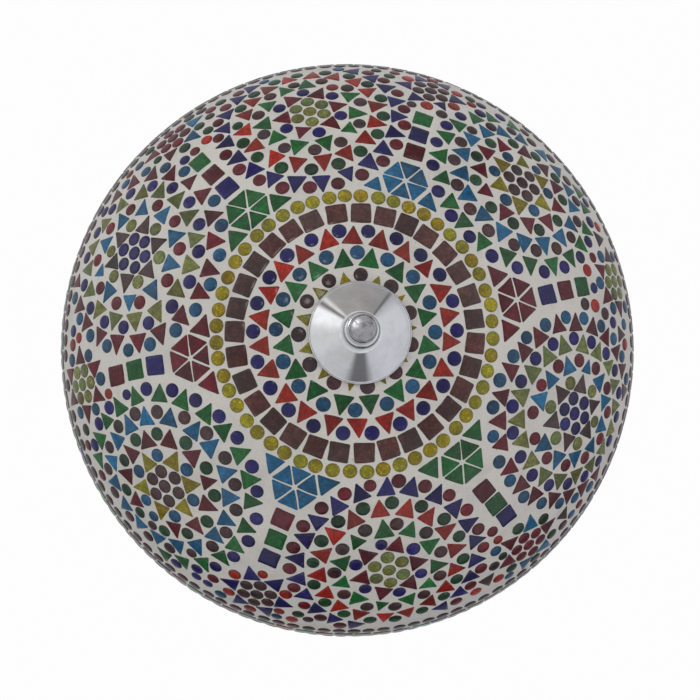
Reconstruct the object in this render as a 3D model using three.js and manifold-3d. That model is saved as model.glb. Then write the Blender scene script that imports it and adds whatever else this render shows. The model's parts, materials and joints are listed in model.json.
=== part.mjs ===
// Mosaic glass ceiling light. A mosaic-covered glass bowl hangs under a ceiling pan on a central
// threaded rod, and a conical cap and a finial nut at the crown of the bowl hold it up.
// Millimetres, +Z up. The origin is the centre of the pan's flat back, which lies on the ceiling,
// so the light hangs down, towards -Z.

import * as THREE from "three";
import { mergeVertices } from "three/addons/utils/BufferGeometryUtils.js";
import Module from "manifold-3d";

const wasm = await Module();
wasm.setup();

// ---- driving dimensions ------------------------------------------------------------------------

const GAP = 0.3; // between pieces that touch

// Bowl: a superellipse turned about Z, cut off by the rim above its widest circle.
const BOWL_RADIUS = 190; // over the mosaic, at the widest circle
const BOWL_DEPTH = 97.5; // from the widest circle down to the crown
const BOWL_POWER = 1.88; // 2 would be an ellipse
const RIM_RISE = 30; // from the widest circle up to the rim
const MOSAIC_THICKNESS = 3;
const GLASS_THICKNESS = 3;
const MOSAIC_HOLE_RADIUS = 12;
const GLASS_HOLE_RADIUS = 6.5;
const BOWL_SEGMENTS = 36;
const RIM_STEPS = 2; // along the outline, from the rim to the widest circle
const BOWL_STEPS = 8; // and from there to the crown

// Ceiling pan: a shallow spun dish with a flat back and a flange over the rim of the bowl.
const SHEET = 1.2;
const PAN_BACK_RADIUS = 150;
const PAN_WALL_RADIUS = 166;
const PAN_RADIUS = 184;
const PAN_DEPTH = 14;
const GASKET_THICKNESS = 2.4;
const GASKET_INNER_RADIUS = 170;
const GASKET_OUTER_RADIUS = 181;
const KEYHOLE_X = 90;
const KEYHOLE_HEAD_RADIUS = 5;
const KEYHOLE_SLOT_RADIUS = 2.6;
const KEYHOLE_LENGTH = 10;
const CABLE_HOLE_Y = 104;
const CABLE_HOLE_RADIUS = 8;

// Crossbar: a hat-section strip, spot-welded to the pan by its feet.
const BAR_WIDTH = 25;
const BAR_THICKNESS = 2.5;
const BAR_HALF_SPAN = 68;
const BAR_FOOT = 16;
const BAR_DROP = 8.2; // from the ceiling to the top of the strip's middle

// Centre rod and what is threaded on it.
const ROD_RADIUS = 5;
const ROD_BORE_RADIUS = 3.5;
const ROD_TOP = -2.6;
const ROD_CLEARANCE = 0.3;
const NUT_ACROSS_FLATS = 17;
const NUT_HEIGHT = 5;
const WASHER_THICKNESS = 1.5;
const SMALL_SEGMENTS = 20;

// Lampholders, on three arms of a bent spider plate.
const LAMP_COUNT = 3;
const FIRST_LAMP_ANGLE = Math.PI / 6;
const LAMP_Z = -36;
const SPIDER_THICKNESS = 2;
const SPIDER_HUB_RADIUS = 14;
const SPIDER_ARM_WIDTH = 20;
const TAB_OUTER = 20; // from the rod's axis to the outer face of a bent tab
const TAB_DROP = 32;
const NIPPLE_RADIUS = 4.8;
const NIPPLE_NUT_ACROSS_FLATS = 13;
const NIPPLE_NUT_HEIGHT = 2.6;
const HOLDER_RADIUS = 14;
const HOLDER_LENGTH = 31;
const HOLDER_FLOOR = 6.5;
const HOLDER_BORE_RADIUS = 7.5;
const RING_RADIUS = 17.5;
const RING_LENGTH = 8;
const HOLDER_SEGMENTS = 16;

// Bulbs: 45 mm globes on a 14 mm screw base.
const BASE_RADIUS = 6.9;
const BASE_LENGTH = 19;
const CONTACT_RADIUS = 3.2;
const CONTACT_LENGTH = 3;
const GLOBE_RADIUS = 22.5;
const BULB_LENGTH = 78; // over the contact and the glass
const BULB_WALL = 0.8;
const BULB_SEGMENTS = 12;

// Terminal block, earth point and leads.
const BLOCK_SIZE = new THREE.Vector3(32, 18, 13);
const BLOCK_Y = 42;
const EARTH_Y = 60;
const LEAD_RADIUS = 1.1;
const LEAD_SIDES = 8;
const LIVE_RING_RADIUS = 25; // the leads run round the spider on two circles
const NEUTRAL_RING_RADIUS = 31;

// Cap and finial.
const CAP_RADIUS = 27.5;
const CAP_SHEET = 1;
const CAP_HUB_RADIUS = 9.6;
const CAP_HEIGHT = 12;
const COLLAR_RADIUS = 9.5;
const COLLAR_HEIGHT = 3.2;
const KNOB_RADIUS = 7.2;
const KNOB_HEIGHT = 10;
const KNOB_BORE_DEPTH = 7;

// ---- heights that follow from them -------------------------------------------------------------

const RIM_Z = -(PAN_DEPTH + GASKET_THICKNESS + 2 * GAP);
const WIDEST_Z = RIM_Z - RIM_RISE;
const CROWN_Z = WIDEST_Z - BOWL_DEPTH;
const GLASS_INSET = MOSAIC_THICKNESS + GAP;
const INNER_INSET = GLASS_INSET + GLASS_THICKNESS;
const BAR_BOTTOM = -(BAR_DROP + BAR_THICKNESS);
const SPIDER_TOP = BAR_BOTTOM - WASHER_THICKNESS - 2 * GAP;
const SPIDER_BOTTOM = SPIDER_TOP - SPIDER_THICKNESS;
const BLOCK_TOP = BAR_BOTTOM - GAP;
const CAP_RIM_Z = CROWN_Z + BOWL_DEPTH - bowlDrop(CAP_RADIUS) - GAP;
const CAP_HUB_Z = CAP_RIM_Z - CAP_HEIGHT;
const COLLAR_TOP = CAP_HUB_Z - GAP;
const KNOB_TOP = COLLAR_TOP - COLLAR_HEIGHT - GAP;
const ROD_END = KNOB_TOP - KNOB_BORE_DEPTH + GAP;

// ---- finishes ----------------------------------------------------------------------------------

const finish = {
  mosaic: new THREE.MeshStandardMaterial({ color: 0xb9b2a4, roughness: 0.35, metalness: 0 }),
  glass: new THREE.MeshStandardMaterial({ color: 0xe6ecea, roughness: 0.1, metalness: 0 }),
  chrome: new THREE.MeshStandardMaterial({ color: 0xc9cbcf, roughness: 0.08, metalness: 1 }),
  enamel: new THREE.MeshStandardMaterial({ color: 0xe9e7e1, roughness: 0.35, metalness: 0.1 }),
  zinc: new THREE.MeshStandardMaterial({ color: 0xa9abad, roughness: 0.4, metalness: 0.9 }),
  rubber: new THREE.MeshStandardMaterial({ color: 0x26262a, roughness: 0.8, metalness: 0 }),
  holder: new THREE.MeshStandardMaterial({ color: 0xe4e0d4, roughness: 0.5, metalness: 0 }),
  opal: new THREE.MeshStandardMaterial({ color: 0xf4f2ea, roughness: 0.3, metalness: 0 }),
  brass: new THREE.MeshStandardMaterial({ color: 0xb99a52, roughness: 0.35, metalness: 1 }),
  live: new THREE.MeshStandardMaterial({ color: 0x6b3a20, roughness: 0.5, metalness: 0 }),
  neutral: new THREE.MeshStandardMaterial({ color: 0x2a5c9c, roughness: 0.5, metalness: 0 }),
  earth: new THREE.MeshStandardMaterial({ color: 0x6f9b2c, roughness: 0.5, metalness: 0 }),
};

// ---- solid helpers -----------------------------------------------------------------------------

// Turns a closed three.js geometry into a solid with merged vertices and its faces pointing out.
function solid(geometry) {
  const bare = geometry.clone();
  bare.deleteAttribute("normal");
  bare.deleteAttribute("uv");
  const merged = mergeVertices(bare, 1e-4);
  const position = merged.getAttribute("position").array;
  const triangles = [];
  let volume = 0;
  const corner = [new THREE.Vector3(), new THREE.Vector3(), new THREE.Vector3()];
  for (let i = 0; i < merged.index.count; i += 3) {
    const face = [0, 1, 2].map((k) => merged.index.getX(i + k));
    if (face[0] === face[1] || face[1] === face[2] || face[2] === face[0]) continue;
    face.forEach((vertex, k) => corner[k].fromArray(position, 3 * vertex));
    volume += corner[0].dot(corner[1].clone().cross(corner[2])) / 6;
    triangles.push(face);
  }
  if (volume < 0) triangles.forEach((face) => face.reverse());
  const mesh = new wasm.Mesh({
    numProp: 3,
    vertProperties: new Float32Array(position),
    triVerts: new Uint32Array(triangles.flat()),
  });
  return new wasm.Manifold(mesh);
}

// Makes a named mesh from a solid and puts it in a group.
function add(group, name, shape, material) {
  const { vertProperties, triVerts } = shape.getMesh();
  const geometry = new THREE.BufferGeometry();
  geometry.setAttribute("position", new THREE.BufferAttribute(vertProperties, 3));
  geometry.setIndex(new THREE.BufferAttribute(triVerts, 1));
  geometry.computeVertexNormals();
  const mesh = new THREE.Mesh(geometry, material);
  mesh.name = name;
  group.add(mesh);
  return mesh;
}

// A profile of [radius, z] points turned about Z.
function turned(profile, segments = SMALL_SEGMENTS) {
  const points = profile.map(([radius, z]) => new THREE.Vector2(radius, z));
  return solid(new THREE.LatheGeometry(points, segments).rotateX(Math.PI / 2));
}

// A flat ring about Z, from its bottom up.
function ring(inner, outer, bottom, height, segments = SMALL_SEGMENTS) {
  const top = bottom + height;
  const profile = [[inner, bottom], [outer, bottom], [outer, top], [inner, top], [inner, bottom]];
  return turned(profile, segments);
}

function disc(radius, bottom, height, segments = SMALL_SEGMENTS) {
  return turned([[0, bottom], [radius, bottom], [radius, bottom + height], [0, bottom + height]], segments);
}

function box(width, depth, height, x, y, z) {
  return solid(new THREE.BoxGeometry(width, depth, height).translate(x, y, z));
}

// A hexagon nut about Z, bored through.
function hexNut(acrossFlats, bore, bottom, height) {
  const body = disc(acrossFlats / Math.sqrt(3), bottom, height, 6);
  return body.subtract(disc(bore, bottom - 1, height + 2));
}

// Lays a solid made about Z along X, its bottom at x = 0.
function alongX(shape) {
  return shape.rotate([0, 90, 0]);
}

// A round lead along a smooth curve through the points.
function lead(points, steps) {
  const section = new THREE.Shape();
  for (let i = 0; i < LEAD_SIDES; i += 1) {
    const angle = (2 * Math.PI * i) / LEAD_SIDES;
    const x = LEAD_RADIUS * Math.cos(angle);
    const y = LEAD_RADIUS * Math.sin(angle);
    if (i === 0) section.moveTo(x, y);
    else section.lineTo(x, y);
  }
  section.closePath();
  const extrudePath = new THREE.CatmullRomCurve3(points, false, "centripetal");
  return solid(new THREE.ExtrudeGeometry(section, { steps, extrudePath }));
}

// ---- bowl --------------------------------------------------------------------------------------

// How far the bowl's outer surface lies below its widest circle, at a radius.
function bowlDrop(radius) {
  return BOWL_DEPTH * (1 - (radius / BOWL_RADIUS) ** BOWL_POWER) ** (1 / BOWL_POWER);
}

function bowlRadius(drop) {
  return BOWL_RADIUS * (1 - (Math.abs(drop) / BOWL_DEPTH) ** BOWL_POWER) ** (1 / BOWL_POWER);
}

// The bowl's outline from the rim to the hole at the crown, moved inwards by an inset.
function bowlOutline(inset, holeRadius) {
  const outline = [];
  const rimTurn = Math.asin((RIM_RISE / BOWL_DEPTH) ** (BOWL_POWER / 2));
  for (let i = -RIM_STEPS; i <= BOWL_STEPS; i += 1) {
    const turn = i < 0 ? (rimTurn * i) / RIM_STEPS : (Math.PI * i) / (2 * BOWL_STEPS);
    const drop = BOWL_DEPTH * Math.sign(turn) * Math.abs(Math.sin(turn)) ** (2 / BOWL_POWER);
    const radius = bowlRadius(drop);
    const across = (radius / BOWL_RADIUS) ** (BOWL_POWER - 1) / BOWL_RADIUS;
    const down = (Math.sign(drop) * (Math.abs(drop) / BOWL_DEPTH) ** (BOWL_POWER - 1)) / BOWL_DEPTH;
    const slope = Math.hypot(across, down);
    const insetRadius = radius - (inset * across) / slope;
    const insetZ = WIDEST_Z - drop + (inset * down) / slope;
    outline.push([Math.max(insetRadius, holeRadius), insetZ]);
  }
  outline[0][1] = RIM_Z;
  return outline;
}

function bowlShell(outerInset, innerInset, holeRadius) {
  const outer = bowlOutline(outerInset, holeRadius);
  const inner = bowlOutline(innerInset, holeRadius).reverse();
  return turned([...outer, ...inner, outer[0]], BOWL_SEGMENTS);
}

function crownWasher(outer, bottom, height) {
  return ring(ROD_RADIUS + ROD_CLEARANCE, outer, bottom, height);
}

function addBowl(shade) {
  const glassOuterZ = CROWN_Z + GLASS_INSET;
  const innerZ = CROWN_Z + INNER_INSET;
  const rubberBottom = innerZ + 0.9;
  const steelBottom = rubberBottom + 2.4 + GAP;
  add(shade, "mosaic_layer", bowlShell(0, MOSAIC_THICKNESS, MOSAIC_HOLE_RADIUS), finish.mosaic);
  add(shade, "glass_bowl", bowlShell(GLASS_INSET, INNER_INSET, GLASS_HOLE_RADIUS), finish.glass);
  add(shade, "inner_rubber_washer", crownWasher(16, rubberBottom, 2.4), finish.rubber);
  add(shade, "inner_steel_washer", crownWasher(15, steelBottom, WASHER_THICKNESS), finish.zinc);
  add(shade, "outer_rubber_washer", crownWasher(11, glassOuterZ - GAP - 2.4, 2.4), finish.rubber);
  return steelBottom + WASHER_THICKNESS;
}

// ---- cap and finial ----------------------------------------------------------------------------

function cap() {
  const bore = ROD_RADIUS + ROD_CLEARANCE;
  const slope = Math.hypot(CAP_RADIUS - CAP_HUB_RADIUS, CAP_HEIGHT);
  const wall = (CAP_SHEET * slope) / (CAP_RADIUS - CAP_HUB_RADIUS);
  return turned([
    [bore, CAP_HUB_Z],
    [CAP_HUB_RADIUS, CAP_HUB_Z],
    [CAP_RADIUS - 1.4, CAP_RIM_Z - 1.5],
    [CAP_RADIUS, CAP_RIM_Z - 0.8],
    [CAP_RADIUS, CAP_RIM_Z],
    [CAP_RADIUS - 1.8, CAP_RIM_Z],
    [CAP_HUB_RADIUS - 0.4, CAP_HUB_Z + wall],
    [bore, CAP_HUB_Z + wall],
    [bore, CAP_HUB_Z],
  ], BOWL_SEGMENTS);
}

function collar() {
  const bottom = COLLAR_TOP - COLLAR_HEIGHT;
  const bore = ROD_RADIUS + ROD_CLEARANCE;
  return turned([
    [bore, bottom],
    [COLLAR_RADIUS - 1.2, bottom],
    [COLLAR_RADIUS - 0.3, bottom + 0.5],
    [COLLAR_RADIUS, bottom + 1.4],
    [COLLAR_RADIUS, COLLAR_TOP],
    [bore, COLLAR_TOP],
    [bore, bottom],
  ]);
}

function knob() {
  const bottom = KNOB_TOP - KNOB_HEIGHT;
  const bore = ROD_RADIUS + ROD_CLEARANCE;
  return turned([
    [0, bottom],
    [KNOB_RADIUS * 0.45, bottom + 0.3],
    [KNOB_RADIUS * 0.8, bottom + 1.1],
    [KNOB_RADIUS, bottom + 2.8],
    [KNOB_RADIUS, KNOB_TOP - 2.6],
    [KNOB_RADIUS - 0.9, KNOB_TOP - 1.6],
    [KNOB_RADIUS - 0.9, KNOB_TOP],
    [bore, KNOB_TOP],
    [bore, KNOB_TOP - KNOB_BORE_DEPTH],
    [0, KNOB_TOP - KNOB_BORE_DEPTH],
  ]);
}

// ---- ceiling pan -------------------------------------------------------------------------------

function keyhole(side) {
  const head = disc(KEYHOLE_HEAD_RADIUS, -5, 10).translate([side * KEYHOLE_X, 0, 0]);
  const end = disc(KEYHOLE_SLOT_RADIUS, -5, 10).translate([side * KEYHOLE_X, KEYHOLE_LENGTH, 0]);
  const slot = box(2 * KEYHOLE_SLOT_RADIUS, KEYHOLE_LENGTH, 10, side * KEYHOLE_X, KEYHOLE_LENGTH / 2, 0);
  return head.add(end).add(slot);
}

function pan() {
  const dish = turned([
    [0, 0],
    [0, -SHEET],
    [PAN_BACK_RADIUS - SHEET, -SHEET],
    [PAN_WALL_RADIUS - SHEET, -PAN_DEPTH],
    [PAN_RADIUS, -PAN_DEPTH],
    [PAN_RADIUS, SHEET - PAN_DEPTH],
    [PAN_WALL_RADIUS, SHEET - PAN_DEPTH],
    [PAN_BACK_RADIUS, 0],
    [0, 0],
  ], BOWL_SEGMENTS);
  const cableHole = disc(CABLE_HOLE_RADIUS, -5, 10).translate([0, CABLE_HOLE_Y, 0]);
  return dish.subtract(keyhole(1)).subtract(keyhole(-1)).subtract(cableHole);
}

// A rubber grommet that grips the edge of the cable hole from below.
function grommet() {
  const neck = CABLE_HOLE_RADIUS - GAP;
  const lipTop = -SHEET - GAP;
  return turned([
    [neck - 2.2, -0.2],
    [neck, -0.2],
    [neck, lipTop],
    [CABLE_HOLE_RADIUS + 3, lipTop],
    [CABLE_HOLE_RADIUS + 2, lipTop - 2.4],
    [neck - 2.2, lipTop - 2.4],
    [neck - 2.2, -0.2],
  ]).translate([0, CABLE_HOLE_Y, 0]);
}

function crossbar() {
  const top = -SHEET - GAP;
  const outer = BAR_HALF_SPAN + BAR_THICKNESS;
  const outline = new THREE.Shape();
  outline.moveTo(-outer - BAR_FOOT, top);
  outline.lineTo(-outer, top);
  outline.lineTo(-BAR_HALF_SPAN, top);
  outline.lineTo(-BAR_HALF_SPAN, -BAR_DROP);
  outline.lineTo(BAR_HALF_SPAN, -BAR_DROP);
  outline.lineTo(BAR_HALF_SPAN, top);
  outline.lineTo(outer + BAR_FOOT, top);
  outline.lineTo(outer + BAR_FOOT, top - BAR_THICKNESS);
  outline.lineTo(outer, top - BAR_THICKNESS);
  outline.lineTo(outer, BAR_BOTTOM);
  outline.lineTo(-outer, BAR_BOTTOM);
  outline.lineTo(-outer, top - BAR_THICKNESS);
  outline.lineTo(-outer - BAR_FOOT, top - BAR_THICKNESS);
  outline.closePath();
  const strip = new THREE.ExtrudeGeometry(outline, { depth: BAR_WIDTH, bevelEnabled: false });
  strip.translate(0, 0, -BAR_WIDTH / 2).rotateX(Math.PI / 2).rotateZ(Math.PI / 2);
  const rodHole = disc(ROD_RADIUS + ROD_CLEARANCE, BAR_BOTTOM - 2, 8);
  const blockHole = disc(2, BAR_BOTTOM - 2, 8).translate([0, BLOCK_Y, 0]);
  const earthHole = disc(2.4, BAR_BOTTOM - 2, 8).translate([0, EARTH_Y, 0]);
  return solid(strip).subtract(rodHole).subtract(blockHole).subtract(earthHole);
}

function addPan(light) {
  const gasketBottom = -PAN_DEPTH - GAP - GASKET_THICKNESS;
  const gasket = ring(
    GASKET_INNER_RADIUS, GASKET_OUTER_RADIUS, gasketBottom, GASKET_THICKNESS, BOWL_SEGMENTS);
  add(light, "ceiling_pan", pan(), finish.enamel);
  add(light, "rim_gasket", gasket, finish.rubber);
  add(light, "cable_grommet", grommet(), finish.rubber);
  add(light, "crossbar", crossbar(), finish.zinc);
}

// ---- rod and spider ----------------------------------------------------------------------------

function rodNut(bottom) {
  return hexNut(NUT_ACROSS_FLATS, ROD_RADIUS + ROD_CLEARANCE, bottom, NUT_HEIGHT);
}

function toothedWasher(bottom) {
  const outer = 9;
  const teeth = 10;
  let washer = ring(ROD_RADIUS + ROD_CLEARANCE, outer, bottom, WASHER_THICKNESS);
  for (let i = 0; i < teeth; i += 1) {
    const notch = box(2.4, 1.4, 6, outer, 0, bottom).rotate([0, 0, (360 * i) / teeth]);
    washer = washer.subtract(notch);
  }
  return washer;
}

function spider() {
  let plate = disc(SPIDER_HUB_RADIUS, SPIDER_BOTTOM, SPIDER_THICKNESS);
  let cuts = disc(ROD_RADIUS + ROD_CLEARANCE, SPIDER_BOTTOM - 1, SPIDER_THICKNESS + 2);
  for (let i = 0; i < LAMP_COUNT; i += 1) {
    const turn = [0, 0, THREE.MathUtils.radToDeg(lampAngle(i))];
    const arm = box(TAB_OUTER, SPIDER_ARM_WIDTH, SPIDER_THICKNESS,
      TAB_OUTER / 2, 0, SPIDER_TOP - SPIDER_THICKNESS / 2);
    const tab = box(SPIDER_THICKNESS, SPIDER_ARM_WIDTH, TAB_DROP,
      TAB_OUTER - SPIDER_THICKNESS / 2, 0, SPIDER_TOP - TAB_DROP / 2);
    const hole = alongX(disc(NIPPLE_RADIUS + ROD_CLEARANCE, 10, 20)).translate([0, 0, LAMP_Z]);
    plate = plate.add(arm.add(tab).rotate(turn));
    cuts = cuts.add(hole.rotate(turn));
  }
  return plate.subtract(cuts);
}

function addRod(light, stopNutBottom) {
  const bore = ROD_BORE_RADIUS;
  const rod = ring(bore, ROD_RADIUS, ROD_END, ROD_TOP - ROD_END);
  add(light, "centre_rod", rod, finish.zinc);
  add(light, "upper_rod_nut", rodNut(-BAR_DROP + GAP), finish.zinc);
  add(light, "lock_washer", toothedWasher(BAR_BOTTOM - GAP - WASHER_THICKNESS), finish.zinc);
  add(light, "holder_spider", spider(), finish.zinc);
  add(light, "lower_rod_nut", rodNut(SPIDER_BOTTOM - GAP - NUT_HEIGHT), finish.zinc);
  add(light, "stop_nut", rodNut(stopNutBottom), finish.zinc);
}

// ---- lampholders and bulbs ---------------------------------------------------------------------

function lampAngle(index) {
  return FIRST_LAMP_ANGLE + (2 * Math.PI * index) / LAMP_COUNT;
}

// A group whose X axis is a lamp's own axis, pointing away from the rod.
function lampGroup(parent, index) {
  const group = new THREE.Group();
  group.rotation.z = lampAngle(index);
  group.position.z = LAMP_Z;
  parent.add(group);
  return group;
}

function addHolder(light, index) {
  const group = lampGroup(light, index);
  const start = TAB_OUTER + GAP;
  const end = start + HOLDER_LENGTH;
  const nippleStart = TAB_OUTER - SPIDER_THICKNESS - NIPPLE_NUT_HEIGHT - 2;
  const body = alongX(turned([
    [0, nippleStart],
    [NIPPLE_RADIUS, nippleStart],
    [NIPPLE_RADIUS, start],
    [HOLDER_RADIUS - 2, start],
    [HOLDER_RADIUS, start + 2],
    [HOLDER_RADIUS, end - 1],
    [HOLDER_RADIUS - 1, end],
    [HOLDER_BORE_RADIUS, end],
    [HOLDER_BORE_RADIUS, start + HOLDER_FLOOR],
    [0, start + HOLDER_FLOOR],
  ], HOLDER_SEGMENTS));
  const nutStart = TAB_OUTER - SPIDER_THICKNESS - GAP - NIPPLE_NUT_HEIGHT;
  const nut = hexNut(NIPPLE_NUT_ACROSS_FLATS, NIPPLE_RADIUS + ROD_CLEARANCE, nutStart, NIPPLE_NUT_HEIGHT);
  const shadeRing = ring(HOLDER_RADIUS + GAP, RING_RADIUS, end - RING_LENGTH - 1, RING_LENGTH, HOLDER_SEGMENTS);
  add(group, `lampholder_${index + 1}`, body, finish.holder);
  add(group, `holder_nut_${index + 1}`, alongX(nut), finish.zinc);
  add(group, `holder_ring_${index + 1}`, alongX(shadeRing), finish.holder);
}

// The hollow glass of a bulb, open where it enters its base.
function bulbGlass(start) {
  const neck = BASE_RADIUS - 0.7;
  const centre = start + BULB_LENGTH - CONTACT_LENGTH - BASE_LENGTH - 2 * GAP - GLOBE_RADIUS;
  const outline = [[neck, start], [neck + 0.4, start + 3], [neck + 4.2, start + 9]];
  const arcSteps = 5;
  const firstTurn = -0.75;
  for (let i = 0; i <= arcSteps; i += 1) {
    const turn = firstTurn + ((Math.PI / 2 - firstTurn) * i) / arcSteps;
    outline.push([GLOBE_RADIUS * Math.cos(turn), centre + GLOBE_RADIUS * Math.sin(turn)]);
  }
  outline[outline.length - 1][0] = 0;
  const reach = (GLOBE_RADIUS - BULB_WALL) / GLOBE_RADIUS;
  const inside = outline.map(([radius, x], i) => (
    i < 3 ? [radius - BULB_WALL, x] : [radius * reach, centre + (x - centre) * reach]));
  return turned([...outline, ...inside.reverse(), outline[0]], BULB_SEGMENTS);
}

function addBulb(bulbs, index) {
  const group = lampGroup(bulbs, index);
  const contactStart = TAB_OUTER + 2 * GAP + HOLDER_FLOOR;
  const baseStart = contactStart + CONTACT_LENGTH + GAP;
  const glassStart = baseStart + BASE_LENGTH + GAP;
  const contact = turned([
    [0, contactStart],
    [CONTACT_RADIUS - 1, contactStart],
    [CONTACT_RADIUS, contactStart + CONTACT_LENGTH],
    [0, contactStart + CONTACT_LENGTH],
  ], BULB_SEGMENTS);
  const base = turned([
    [0, baseStart],
    [CONTACT_RADIUS + 1, baseStart],
    [BASE_RADIUS, baseStart + 2.5],
    [BASE_RADIUS, baseStart + BASE_LENGTH],
    [0, baseStart + BASE_LENGTH],
  ], BULB_SEGMENTS);
  add(group, `bulb_contact_${index + 1}`, alongX(contact), finish.brass);
  add(group, `bulb_base_${index + 1}`, alongX(base), finish.zinc);
  add(group, `bulb_glass_${index + 1}`, alongX(bulbGlass(glassStart)), finish.opal);
}

// ---- terminal block, earth point and leads -----------------------------------------------------

function terminalBlock() {
  const middle = BLOCK_TOP - BLOCK_SIZE.z / 2;
  const body = box(BLOCK_SIZE.x, BLOCK_SIZE.y, BLOCK_SIZE.z, 0, BLOCK_Y, middle);
  return body.subtract(disc(1.9, BLOCK_TOP - 20, 30).translate([0, BLOCK_Y, 0]));
}

// A screw from below, with its head down and its shank in a nut above the crossbar.
function screw(shank, head, headHeight, underHead, length, y) {
  return turned([
    [0, underHead - headHeight],
    [head, underHead - headHeight],
    [head, underHead],
    [shank, underHead],
    [shank, underHead + length],
    [0, underHead + length],
  ], 16).translate([0, y, 0]);
}

function addTerminals(light) {
  const nutBottom = -BAR_DROP + GAP;
  const blockUnder = BLOCK_TOP - BLOCK_SIZE.z - GAP;
  const tagTop = BAR_BOTTOM - GAP;
  const tagBottom = tagTop - 1;
  const blockScrew = screw(1.5, 2.8, 2, blockUnder, nutBottom + 3 - blockUnder, BLOCK_Y);
  const earthScrew = screw(2, 3.8, 2.6, tagBottom - GAP, nutBottom + 4 - tagBottom + GAP, EARTH_Y);
  const tagRing = ring(2.4, 4.4, tagBottom, 1).translate([0, EARTH_Y, 0]);
  const tagTongue = box(3, 6, 1, 0, EARTH_Y - 5.6, (tagTop + tagBottom) / 2);
  const blockNut = hexNut(5.5, 1.8, nutBottom, 2.4).translate([0, BLOCK_Y, 0]);
  const earthNut = hexNut(7, 2.3, nutBottom, 3.2).translate([0, EARTH_Y, 0]);
  add(light, "terminal_block", terminalBlock(), finish.holder);
  add(light, "terminal_screw", blockScrew, finish.zinc);
  add(light, "terminal_nut", blockNut, finish.zinc);
  add(light, "earth_tag", tagRing.add(tagTongue), finish.brass);
  add(light, "earth_screw", earthScrew, finish.brass);
  add(light, "earth_nut", earthNut, finish.brass);
  return tagBottom;
}

// A lead from the block, round the spider at its own height, and down into the top of a holder.
function ringLead(startX, radius, z, firstAngle, lastAngle) {
  const points = [
    new THREE.Vector3(startX, BLOCK_Y - BLOCK_SIZE.y / 2 - GAP, z),
    new THREE.Vector3(startX, BLOCK_Y - BLOCK_SIZE.y / 2 - GAP - 1, z),
  ];
  const turns = Math.max(2, Math.round(Math.abs(lastAngle - firstAngle) / 0.35));
  for (let i = 0; i <= turns; i += 1) {
    const angle = firstAngle + ((lastAngle - firstAngle) * i) / turns;
    points.push(new THREE.Vector3(radius * Math.cos(angle), radius * Math.sin(angle), z));
  }
  const bend = new THREE.Vector3(radius * Math.cos(lastAngle), radius * Math.sin(lastAngle), 0);
  const onward = Math.sign(lastAngle - firstAngle) * 2.5;
  bend.x -= onward * Math.sin(lastAngle);
  bend.y += onward * Math.cos(lastAngle);
  points.push(bend.clone().setZ(z - 1.4));
  points.push(bend.clone().setZ(LAMP_Z + HOLDER_RADIUS + 2 * GAP));
  return lead(points, points.length + 4);
}

function addLeads(light, earthTagBottom) {
  const angles = [lampAngle(0), lampAngle(1)];
  const right = Math.PI / 2 - 0.5;
  const left = Math.PI / 2 + 0.5;
  const lowLive = -20.3;
  const lowNeutral = -17.6;
  const highLive = -15;
  const highNeutral = -12.4;
  const neutralFar = -Math.PI / 2;
  const liveFar = (3 * Math.PI) / 2;
  const live = [
    ringLead(-5.5, LIVE_RING_RADIUS, lowLive, Math.PI / 2 - 0.1, angles[0]),
    ringLead(-12.5, LIVE_RING_RADIUS, lowLive, left + 0.3, angles[1]),
    ringLead(-9, LIVE_RING_RADIUS, highLive, left + 0.1, liveFar),
  ];
  const neutral = [
    ringLead(12.5, NEUTRAL_RING_RADIUS, lowNeutral, right - 0.1, angles[0]),
    ringLead(5.5, NEUTRAL_RING_RADIUS, lowNeutral, Math.PI / 2 - 0.05, angles[1]),
    ringLead(9, NEUTRAL_RING_RADIUS, highNeutral, right, neutralFar),
  ];
  live.forEach((shape, i) => add(light, `live_lead_${i + 1}`, shape, finish.live));
  neutral.forEach((shape, i) => add(light, `neutral_lead_${i + 1}`, shape, finish.neutral));
  const blockFace = BLOCK_Y + BLOCK_SIZE.y / 2 + GAP;
  const tongueY = EARTH_Y - 7.4;
  const earthLead = lead([
    new THREE.Vector3(0, blockFace, -19),
    new THREE.Vector3(0, blockFace + 2.2, -18.4),
    new THREE.Vector3(0, tongueY + 1.6, -15.4),
    new THREE.Vector3(0, tongueY + 1.2, earthTagBottom - GAP),
  ], 8);
  add(light, "earth_lead", earthLead, finish.earth);
}

// ---- assembly ----------------------------------------------------------------------------------

const light = new THREE.Group();
const shade = new THREE.Group();
const finial = new THREE.Group();
const bulbs = new THREE.Group();

const steelWasherTop = addBowl(shade);
add(shade, "chrome_cap", cap(), finish.chrome);
add(finial, "finial_collar", collar(), finish.chrome);
add(finial, "finial_knob", knob(), finish.chrome);
addPan(light);
addRod(light, steelWasherTop + GAP);
for (let i = 0; i < LAMP_COUNT; i += 1) {
  addHolder(light, i);
  addBulb(bulbs, i);
}
const earthTagBottom = addTerminals(light);
addLeads(light, earthTagBottom);
light.add(shade, finial, bulbs);

export default light;
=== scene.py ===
"""Looks of a mosaic glass ceiling light, seen from below.

A grout shell with about 1,800 separate glass tiles and beads covers the bowl. The pattern
is laid out on the bowl's own surface: by arc length from the crown, and by azimuth about the rod.
Sizes are millimetres until a mesh is made. Angles are degrees, apart from the camera's tilt and the
angle that a section or a wave function is given, which are radians.
"""

import itertools
import json
import math
import random

import bmesh
import bpy
import numpy as np
from mathutils import Matrix, Vector, noise


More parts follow.
